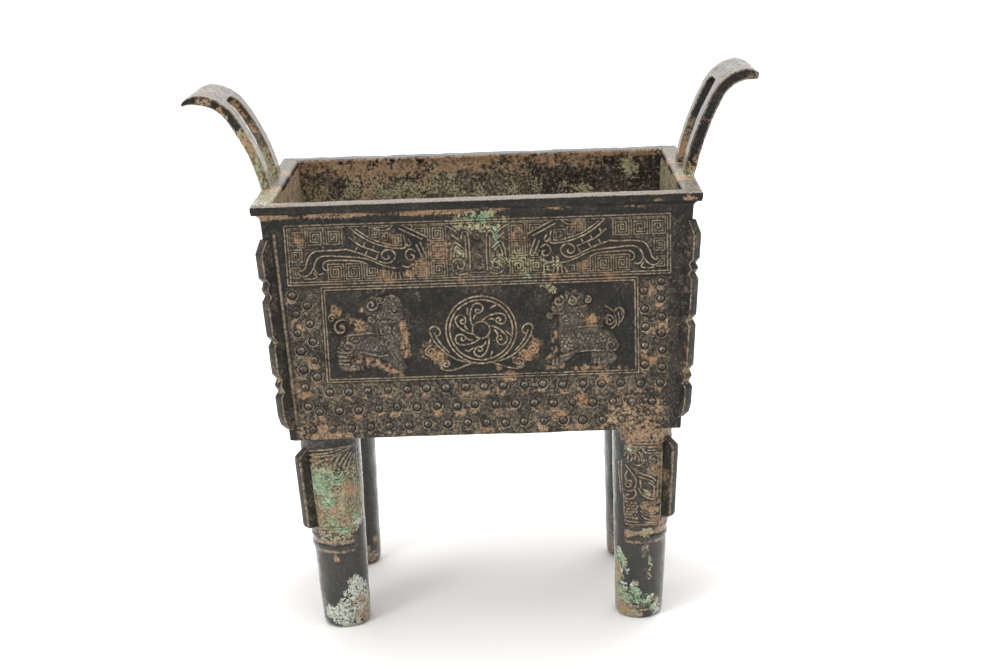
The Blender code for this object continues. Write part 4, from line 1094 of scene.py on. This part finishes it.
# ---- Legs -----------------------------------------------------------------------------
# Four round legs, cast solid with the body, that lean in towards the foot.  Each has a mask
# above two rings, on both sides of its flange, and a small drop that hangs below the rings.
LEG_TOP, LEG_FOOT = (109.8, 61.6, 21.2), (105.3, 57.1, 16.7)    # x, y and radius
LEG_LENGTH = BODY_BOTTOM
LEG_ROOT = 149.7            # the upper end, inside the vessel's floor
LEG_ARC = 0.335             # millimetres of leg round, for each degree
LEG_FLANGE_FACE = 52.0      # degrees of the flange from straight ahead
LEG_RINGS = ((72.4, 68.4), (65.2, 60.8))    # upper and lower edge of each
LEG_REACH = 93.0            # degrees that the rings go round, each way from the flange
LEG_FINE, LEG_COARSE = (190, 230, 56000), (130, 160, 30000)     # rows, steps round, triangles
LEFT_LEG_LINES = (
    ((-60, 134.1), (-24, 137), (7, 138), (31, 138.6), (56, 138.6)),
    ((-45, 132.2), (-27, 134), (-2, 135.4), (18, 136.9), (40, 137.6), (60, 137.3)),
    ((-33, 131.6), (-10, 133), (13, 134), (26, 135.6), (44, 136.6)),
    ((-30, 126.6), (-11, 130), (5, 131.6), (21, 133.6)), ((25, 133.9), (14, 129.2), (9, 123.4)),
    ((39, 134.2), (24, 128.6), (16, 122.4)), ((46, 133.2), (33, 128), (25, 122)),
    ((52, 132.2), (42, 127.2), (34, 121.8)), ((57, 132.2), (51, 125.6), (44, 122.2)),
    ((62, 131.8), (60, 126.4), (55, 122.6)),
    ((-16, 113.7), (-8, 114.4), (0, 116.9), (-4, 118.6), (-14, 117.2), (-16, 113.7)),
    ((8, 114), (18, 114.4), (26, 118.4)), ((10, 116.6), (18, 117), (24, 120.2)),
    ((3, 108), (11, 109.6), (17, 108.6), (10, 106.2), (3, 108)),
    ((27, 110.4), (34, 114.4), (46, 117.4), (49, 112.2), (49, 107.3), (41, 104.4), (38, 108.2),
     (30, 108.6), (27, 110.4)),
    ((27, 98), (34, 100.8), (44, 99.6), (47, 95.9), (42, 92.4), (30, 90.2), (28, 93.6), (27, 98)),
    ((42, 88.8), (52, 91.6), (57, 96), (57, 101)), ((34, 87.6), (46, 88), (56, 91.6)),
    ((62, 136.2), (64, 124.6), (62, 109.7), (60, 97.5), (58, 84)),
    ((-50, 128), (-20, 129.4), (2, 130.6)), ((12, 133.6), (4, 128.6), (2, 124.4)),
    ((-49, 120), (-52, 111.3), (-50, 99), (-47, 88.6), (-46, 80)),
    ((-46, 77), (-16, 77.6), (18, 78), (50, 77.4)))
LEFT_LEG_CURLS = (
    (-1, 126.5, 3.6, 0, 1.9), (-6, 108.2, 3, 90, -1.4), (40, 111.6, 1.7, 0, 1.3),
    (37, 96, 2.5, 0, 1.6), (-16, 87.4, 2.4, 200, -1.5), (11, 87.8, 2.6, 60, 1.6),
    (-6, 82, 2.4, 120, -1.5), (17, 80.6, 2, 30, 1.4), (-28, 82.6, 2, 0, 1.4),
    (-30, 100, 2.4, 0, 1.4), (4, 99, 2.4, 90, 1.3), (-14, 95.6, 2.2, 0, -1.3))
LEFT_LEG_MARKS = {
    "ochre": ((-20, 106, 26), (20, 100, 26), (0, 88, 20), (-36, 94, 20), (44, 92, 16),
              (-44, 112, 6), (-28, 100, 11), (0, 96, 12), (20, 110, 9), (0, 80, 10), (30, 80, 9),
              (20, 98, 10), (-33, 84, 9), (10, 84, 10), (34, 104, 8), (-36, 120, 6), (50, 96, 7),
              (30, 86, 8), (54, 18, 10), (60, 10, 9)),
    "crust": ((24, 12, 13), (-46, 108, 4), (50, 80, 4), (30, 35, 6), (44, 30, 8), (24, 26, 7),
              (56, 24, 7), (4, 16, 7), (-16, 9, 7), (-38, 12, 6), (10, 4, 6), (34, 6, 6)),
    "green": ((-30, 113, 8.4), (-22, 106, 8), (-13, 99.5, 6.4), (-9, 116, 6.4), (5, 115.5, 5.4),
              (17, 118, 4.4), (46, 86, 3.8), (18, 76.6, 4.2), (4, 78, 3), (-10, 83, 3),
              (14, 89, 2.8)),
    "soil": ((34, 108, 3.6), (-26, 130.6, 4), (-2, 131, 3), (42, 104, 4), (22, 84, 5), (2, 91, 4),
             (-34, 88, 4), (-6, 55, 2.6), (34, 10, 4), (56, 7, 8), (24, 18, 3), (50, 20, 4),
             (38, 22, 2.4))}
RIGHT_LEG_LINES = (
    ((-23, 134.6), (2, 134.6), (24, 134.1), (36, 134.2), (45, 134.9)),
    ((-23, 132.5), (2, 132.5), (24, 131.8), (41, 131.9)), ((-36, 127.6), (-39, 124.7)),
    ((-30, 127.1), (-32, 122.5)), ((-27, 127.7), (-23, 125.2), (-24, 122.2), (-32, 120.3)),
    ((-23, 128.2), (-17, 125.4), (-18, 121.7)), ((-19, 128.3), (-10, 124.8), (-9, 121.8)),
    ((-19, 129.8), (-8, 128.2), (-5, 124.8), (-4, 121.8)), ((-17, 131.2), (-9, 130.4)),
    ((-19, 132.1), (-8, 132), (-2, 130), (-3, 126.3), (0, 122.5), (-3, 119.6), (-13, 118.4),
     (-21, 120.1)), ((41, 130.3), (22, 131), (1, 131.4), (3, 128.2), (12, 127.4), (34, 126.8)),
    ((8, 129.6), (27, 129)), ((30, 124.6), (29, 120.6)),
    ((30, 124.2), (21, 126.1), (14, 125), (12, 122.2), (17, 119.6), (23, 120.6), (22, 122.8)),
    ((14, 118.4), (11, 115.1), (18, 112.2), (26, 109.9), (29, 113.1), (26, 117.7)),
    ((-47, 120.8), (-48, 110.2), (-45, 99.8), (-42, 94.7), (-41, 87.2), (-39, 78.9), (-34, 76.6)),
    ((-56, 119.3), (-55, 111), (-51, 102.3), (-50, 95.6)),
    ((-36, 117.8), (-25, 113.1), (-17, 109.7), (-14, 105.9), (-17, 100.6)),
    ((-33, 114.4), (-38, 109.4), (-36, 106.5)),
    ((-23, 105), (-24, 106.4), (-30, 106.6), (-37, 104.2), (-34, 101.7), (-25, 102.4),
     (-26, 104.2), (-30, 104.2)),
    ((-41, 99.4), (-31, 98.5), (-18, 99.8), (-14, 97.3), (-18, 94.5), (-29, 92.5), (-38, 93.2),
     (-34, 95.7), (-27, 96)), ((-7, 112.8), (9, 110.6), (20, 108.5), (27, 105.6)),
    ((-9, 110.1), (6, 108.1), (19, 105.8), (26, 101.2)), ((-6, 107.5), (-4, 101.5)),
    ((10, 105.5), (22, 102.2), (24, 95.2)), ((-9, 101.5), (-2, 96.9), (11, 93.6), (29, 91.6)),
    ((0, 100.7), (10, 98.7), (18, 99.4)), ((-3, 90.1), (7, 91.2), (20, 89.7), (29, 86.5)),
    ((-5, 89.6), (-1, 86.3), (7, 82.8), (19, 81.1), (29, 81.5)), ((9, 91), (12, 88.3)),
    ((18, 90), (19, 87.5)), ((-3, 84), (5, 81.2), (17, 79.5), (31, 78.3)),
    ((-2, 81), (6, 78.2), (17, 76.9), (31, 75.7)), ((4, 75.7), (17, 74.6), (33, 73.8)),
    ((-39, 75.9), (-22, 75.4), (-5, 75.6)), ((-36, 73.3), (-22, 73.2), (-5, 73.4)),
    ((30, 124.9), (33, 113.5), (32, 102.2), (32, 92.4)),
    ((38, 131), (41, 112.8), (41, 97.7), (42, 80.9), (40, 75)),
    ((-8, 10.8), (8, 10.6), (24, 11.2)), ((-6, 7), (10, 6.8), (22, 7.4)))
RIGHT_LEG_CURLS = tuple((-37.0 + 7.2 * column + 3.6 * (row % 2), 90.0 - 2.3 * row, 0.95,
                         70.0 * (column + row), 1.1) for row in range(6) for column in range(4))
RIGHT_LEG_MARKS = {
    "ochre": ((-31, 131, 4.4), (10, 97, 3.2), (37, 84, 3), (36, 124, 2.8), (36, 118, 2.8),
              (37, 111, 2.6), (36, 104, 2.6), (37, 97, 2.6), (37, 90, 2.6), (4, 67, 3.4),
              (14, 67.4, 3.6), (-66, 40, 7), (-57, 36, 5), (-70, 30, 9), (-66, 21, 9),
              (-12, 28, 3), (-24, 18, 2.6), (-31, 12, 3.4), (-60, 10, 14), (-44, 7, 12),
              (-26, 5, 10), (-6, 4, 4), (13, 56.6, 2), (18, 48, 1.3), (22, 45.6, 1.5),
              (19, 43, 1.2), (24, 41, 1.4), (20, 38.6, 1.5), (18, 35.6, 1.3), (23, 33.6, 1.4),
              (20, 30.8, 1.1)),
    "green": ((-30, 130.6, 1.8), (-56, 48, 5), (-48, 44.5, 5), (-42, 41, 4.4), (-44, 21, 6),
              (-37, 17, 6.4), (-34, 13, 4), (-16, 23, 4.6), (-11, 18.5, 6.6), (-3, 15.4, 6.4),
              (8, 14, 5.2), (22, 13.6, 5), (33, 9, 4.6)),
    "crust": ((-28, 130, 1.6), (-60, 51, 3.4), (-33, 37.5, 2.4), (-46, 36, 2.2), (-40, 25.4, 3),
              (-20, 26, 1.8), (15, 17, 2), (30, 17.4, 1.6), (44, 12, 3), (48, 4, 4.8)),
    "soil": ((-27, 141.5, 9.6), (-8, 143, 8.6), (34, 140, 9), (40, 134, 3), (20, 114.6, 4),
             (18, 122.6, 1.2), (19, 87, 5), (8, 88, 3.4), (24, 77, 3), (34, 75, 4), (44, 70.8, 5),
             (-30, 66.6, 3), (28, 95, 2.6), (40, 110, 3), (40, 92, 3), (-62, 38, 3),
             (38, 14, 3.4), (-52, 9, 4), (-34, 8, 4)),
    "silt": ((10, 55, 3.4), (5, 49.6, 1.8))}
BACK_LEFT_LEG_LINES = (
    ((118, 10.9), (150, 10.5), (179, 10.9)), ((118, 7), (150, 6.6), (179, 7)))
BACK_LEFT_LEG_MARKS = {
    "soil": ((166, 104, 3.4), (174, 90, 3), (150, 13, 2.6), (138, 5, 4), (158, 4.4, 4),
             (124, 20, 3)),
    "silt": ((156, 8, 8),),
    "ochre": ((148, 8.6, 2.6),)}
BACK_RIGHT_LEG_MARKS = {
    "silt": ((-150, 22, 14),),
    "ochre": ((-150, 12, 9), (-146, 24, 5)),
    "soil": ((-150, 30, 5), (-128, 8, 5)),
    "crust": ((-152, 46, 2),)}


def leg(name, side_x, side_y, lines, curls, marks, rings, around, most):
    """Leg as a surface of revolution with relief: the radius grows evenly from foot to
    root, is cut in at the foot and raised at the rings, and the axis leans out with
    height.  Round the leg an angle of nought faces away from the body's long side.  Lines,
    curls and marks are given by angle and height; lines and curls repeat in the mirror
    beyond the flange."""
    z = np.concatenate((np.linspace(0.0, 3.0, 6), np.linspace(3.6, 56.0, rings // 4),
                        np.linspace(56.6, LEG_ROOT, rings)))
    degrees = np.linspace(-180.0, 180.0, around, endpoint=False)
    relief = Relief(np.repeat(degrees[None, :] * LEG_ARC, len(z), axis=0),
                    np.repeat(z[:, None], around, axis=1))
    centre = side_x * LEG_FLANGE_FACE
    for flip, base in ((1.0, 0.0), (-1.0, 2.0 * centre)):
        for points in lines:
            path = (base, 0.0) + np.array(points, float) * (flip, 1.0)
            relief.thread(smooth_line(path * (LEG_ARC, 1.0)), 0.48, 0.44)
        for degree, up, radius, start, turns in curls:
            u = (base + flip * degree) * LEG_ARC
            relief.thread(curl(u, up, radius, start, flip * turns), 0.40, 0.40)
    for layer, patches in marks.items():
        for degree, up, radius in patches:
            relief.stain(layer, degree * LEG_ARC, up, radius, 1.05 if layer == "ochre" else 0.95)
    relief.lump(-2.0 * side_x * LEG_ARC, 55.6, 2.6, 4.2, 0.0, 1.7)
    height = relief.height()
    radius = LEG_FOOT[2] + (LEG_TOP[2] - LEG_FOOT[2]) * z / LEG_LENGTH
    radius = radius - np.interp(z, (0.0, 0.6, 2.0, 4.0), (3.8, 2.0, 0.6, 0.0))
    away = np.abs((degrees - centre + 180.0) % 360.0 - 180.0)
    carved = np.clip((LEG_REACH - away) / 5.0, 0.0, 1.0)
    radius = radius[:, None] * np.ones(around)
    for high, low in LEG_RINGS:
        ring = np.clip(np.minimum(z - low, high - z) / 0.7, 0.0, 1.0)[:, None] * carved
        radius += 0.8 * ring
        for v, depth in ((high + 0.9, 0.5), (low - 0.9, 0.9)):
            worn = depth * np.exp(-((z - v) / 0.8) ** 2)[:, None] * carved
            relief.paint["soil"] += worn
            relief.paint["line"] += 0.5 * worn
    share = z / LEG_LENGTH
    turn = np.radians(degrees)
    axis_x = side_x * (LEG_FOOT[0] + (LEG_TOP[0] - LEG_FOOT[0]) * share) + MIDDLE_X
    axis_y = side_y * (LEG_FOOT[1] + (LEG_TOP[1] - LEG_FOOT[1]) * share)
    reach = radius + height
    points = np.stack((axis_x[:, None] + reach * np.sin(turn),
                       axis_y[:, None] + side_y * reach * np.cos(turn),
                       z[:, None] + 0.0 * reach), axis=-1) * MM
    rough = 0.16 * wobble(points, 20, 51) + 0.06 * wobble(points, 5, 52)
    rough[0] = rough[-1] = 0.0
    points[..., 0] += MM * rough * np.sin(turn)
    points[..., 1] += MM * side_y * rough * np.cos(turn)
    sink = np.clip(1.9 * (soften(height, 4) - height), 0.0, 1.0)
    filled = sum(relief.paint[layer] for layer in ("ochre", "green", "crust"))
    filled = np.clip(1.6 * filled - 0.5, 0.0, 1.0)
    # Painted shade in the recesses, a little less where crust fills them.
    relief.paint["hollow"] = (1.0 - 0.2 * filled) * (relief.paint["hollow"] + sink)
    relief.paint["line"] *= 1.0 - 0.45 * filled
    upper = np.clip((z - 72.0) / 3.0, 0.0, 1.0)[:, None] * carved
    relief.paint["soil"] += 0.10 * upper + 0.10 * wobble(points, 20, 53) + 0.15 * sink
    relief.paint["silt"] += 0.04 + 0.22 * upper + 0.08 * wobble(points, 30, 54)
    relief.paint["sheen"] += 0.75 - 0.5 * upper
    return add_piece(name, points.reshape(-1, 3), tube(len(z), around, turned=side_y > 0),
                     relief.paint, most)


leg("front_left_leg", -1, -1, LEFT_LEG_LINES, LEFT_LEG_CURLS, LEFT_LEG_MARKS, *LEG_FINE)
leg("front_right_leg", 1, -1, RIGHT_LEG_LINES, RIGHT_LEG_CURLS, RIGHT_LEG_MARKS, *LEG_FINE)
leg("back_left_leg", -1, 1, LEFT_LEG_LINES + BACK_LEFT_LEG_LINES, LEFT_LEG_CURLS,
    BACK_LEFT_LEG_MARKS, *LEG_COARSE)
leg("back_right_leg", 1, 1, RIGHT_LEG_LINES, RIGHT_LEG_CURLS, BACK_RIGHT_LEG_MARKS,
    *LEG_COARSE)

# ---- Flanges --------------------------------------------------------------------------
# Upright ridges, cast with the rest, that hid the seams of the mould: one with notches down
# each corner of the body, and a plain one on the outer corner of each leg.
FLANGE_OUT, FLANGE_CUT = 5.4, 2.3
FLANGE_INNER, FLANGE_THICK = -3.0, 7.4
LEG_FLANGE_INNER, LEG_FLANGE_THICK = 10.0, 6.2
# Height and reach along a leg's flange.
LEG_FLANGE = ((78.5, 25.8), (79.2, 26.9), (81, 27.4), (129, 28.9), (131.6, 28.6), (132.5, 27.9),
              (137.5, 20.9))


def flange(name, foot, out, along, steps, inner, thick):
    """Ridge: across it a thin rectangle with rounded corners, from the inner reach to the
    reach given at each height, carried along the edge; reaches between the steps run
    straight."""
    out, along = (np.array(axis) / np.linalg.norm(axis) for axis in (out, along))
    across = np.cross(out, along)
    heights, reaches = np.array(steps).T
    v = np.unique(np.round(np.concatenate((np.arange(heights[0], heights[-1], 0.7), heights)), 2))
    reach = np.interp(v, heights, reaches)
    half = thick / 2.0
    flank = np.linspace(0.0, 1.0, 9)
    side = np.stack((flank, np.where(flank == 1.0, -0.8, 0.0), np.full(len(flank), half)), axis=1)
    nose = np.array(((1.0, -0.25, half - 0.25), (1.0, 0.0, half - 0.9), (1.0, 0.0, 0.0)))
    part = np.concatenate((side, nose))
    loop = np.concatenate((part, part[-2::-1] * (1.0, 1.0, -1.0)))
    stand = inner + (reach - inner)[:, None] * loop[None, :, 0] + loop[None, :, 1]
    points = (np.array(foot) + stand[..., None] * out + v[:, None, None] * along
              + loop[None, :, 2, None] * across) * MM
    rough = 0.12 * wobble(points, 15, 61) + 0.07 * wobble(points, 5, 62)
    points += MM * rough[..., None] * (across * np.sign(loop[:, 2])[:, None] * 0.7)
    flat = points.reshape(-1, 3)
    face = 0.55 * ((loop[:, 0] == 1.0) & (np.abs(loop[:, 2]) > half - 0.5)) + np.zeros((len(v), 1))
    notch = np.clip((FLANGE_OUT - 1.4 - reach) / 1.2, 0.0, 1.0) * (np.abs(v - 58.0) < 34.0)
    notch = (notch[:, None] * (loop[:, 0] == 1.0)).ravel()
    layers = {"silt": 0.2 + 0.12 * wobble(flat, 20, 63), "ochre": 0.8 * notch,
              "soil": 0.04 + 0.16 * wobble(flat, 20, 64) + 0.4 * notch, "line": face.ravel()}
    return add_piece(name, flat, tube(len(v), len(loop)), layers)


# A body flange has two notches with a low tooth between them near each end, and one notch in
# the middle.
for word, side_x, upper, middle, lower, shoulder in (
        ("left", -1, (104.5, 114.0), (73.0, 73.0), (36.8, 46.0), 143.5),
        ("right", 1, (111.0, 118.0), (78.8, 78.8), (34.5, 42.8), 147.5)):
    steps = [(8.5, 0.0), (12.5, FLANGE_OUT - 1.6), (19.0, FLANGE_OUT)]
    for low, high in (lower, middle, upper):
        steps += [(low - 3.8, FLANGE_OUT), (low, FLANGE_CUT)]
        if high > low:
            steps += [((low + high) / 2.0, FLANGE_OUT - 0.8), (high, FLANGE_CUT)]
        steps += [(high + 3.8, FLANGE_OUT)]
    steps += [(shoulder - 9.0, FLANGE_OUT), (shoulder, 0.0)]
    for end, side_y in (("front", -1), ("back", 1)):
        foot = (side_x * HALF_X_LOW + MIDDLE_X, side_y * HALF_Y_LOW, BODY_BOTTOM)
        along = (side_x * (HALF_X_TOP - HALF_X_LOW), side_y * (HALF_Y_TOP - HALF_Y_LOW),
                 BODY_TOP - BODY_BOTTOM)
        flange(f"{end}_{word}_flange", foot, (side_x, side_y, 0), along, steps, FLANGE_INNER,
               FLANGE_THICK)
        turn = math.radians(90.0 - LEG_FLANGE_FACE)
        foot = (side_x * LEG_FOOT[0] + MIDDLE_X, side_y * LEG_FOOT[1], 0.0)
        out = (side_x * math.cos(turn), side_y * math.sin(turn), 0.0)
        along = (side_x * (LEG_TOP[0] - LEG_FOOT[0]), side_y * (LEG_TOP[1] - LEG_FOOT[1]),
                 LEG_LENGTH)
        flange(f"{end}_{word}_leg_flange", foot, out, along, LEG_FLANGE, LEG_FLANGE_INNER,
               LEG_FLANGE_THICK)

# ---- Stage ----------------------------------------------------------------------------
# A table of matt white paper in a pale studio, with three diffused lamps and a camera on a
# stand in front.
floor_mesh = bpy.data.meshes.new("floor")
floor_mesh.from_pydata([(-4, -4, 0), (4, -4, 0), (4, 2.6, 0), (-4, 2.6, 0)], [], [(0, 1, 2, 3)])
floor = bpy.data.objects.new("floor", floor_mesh)
bpy.context.scene.collection.objects.link(floor)
pale = bpy.data.materials.new("matt_white_paper")
pale.use_nodes = True
paper = pale.node_tree.nodes["Principled BSDF"].inputs
paper["Base Color"].default_value = linear("#fbfaf8")
paper["Roughness"].default_value = 0.95
floor_mesh.materials.append(pale)

world = bpy.data.worlds.new("studio")
world.use_nodes = True
tree = world.node_tree
# The studio is brighter behind the vessel than in front of it.
ahead = add_node(tree, "SeparateXYZ", add_node(tree, "TexCoord", out="Generated"), out="Y")
glow = add_node(tree, "MapRange", ahead, -0.6, 0.7, 0.6, 1.03)
tree.links.new(glow, tree.nodes["Background"].inputs["Strength"])
tree.nodes["Background"].inputs["Color"].default_value = (1.0, 1.0, 1.0, 1.0)
bpy.context.scene.world = world
bpy.context.scene.view_settings.view_transform = "Standard"


def softbox(name, place, aim, size, power):
    """Square diffused lamp that points at a place."""
    data = bpy.data.lights.new(name, "AREA")
    data.size = size
    data.energy = power
    lamp = bpy.data.objects.new(name, data)
    lamp.location = place
    lamp.rotation_euler = (Vector(place) - Vector(aim)).to_track_quat("Z", "Y").to_euler()
    bpy.context.scene.collection.objects.link(lamp)


softbox("overhead", (0.2, 1.0, 2.4), (0.0, 0.1, 0.1), 2.2, 40.0)
softbox("top", (-0.1, -0.6, 2.3), (0.0, 0.0, 0.2), 1.5, 20.0)
softbox("key", (-1.3, -1.5, 1.9), (0.0, 0.0, 0.2), 0.7, 14.0)

camera_data = bpy.data.cameras.new("camera")
camera_data.lens = 64.909
camera_data.sensor_width = 36.0
camera = bpy.data.objects.new("camera", camera_data)
camera.location = (0.02867, -1.26753, 0.53503)
camera.rotation_euler = [math.radians(a) for a in (74.991, 1.999, 0.089)]
bpy.context.scene.collection.objects.link(camera)
bpy.context.scene.camera = camera
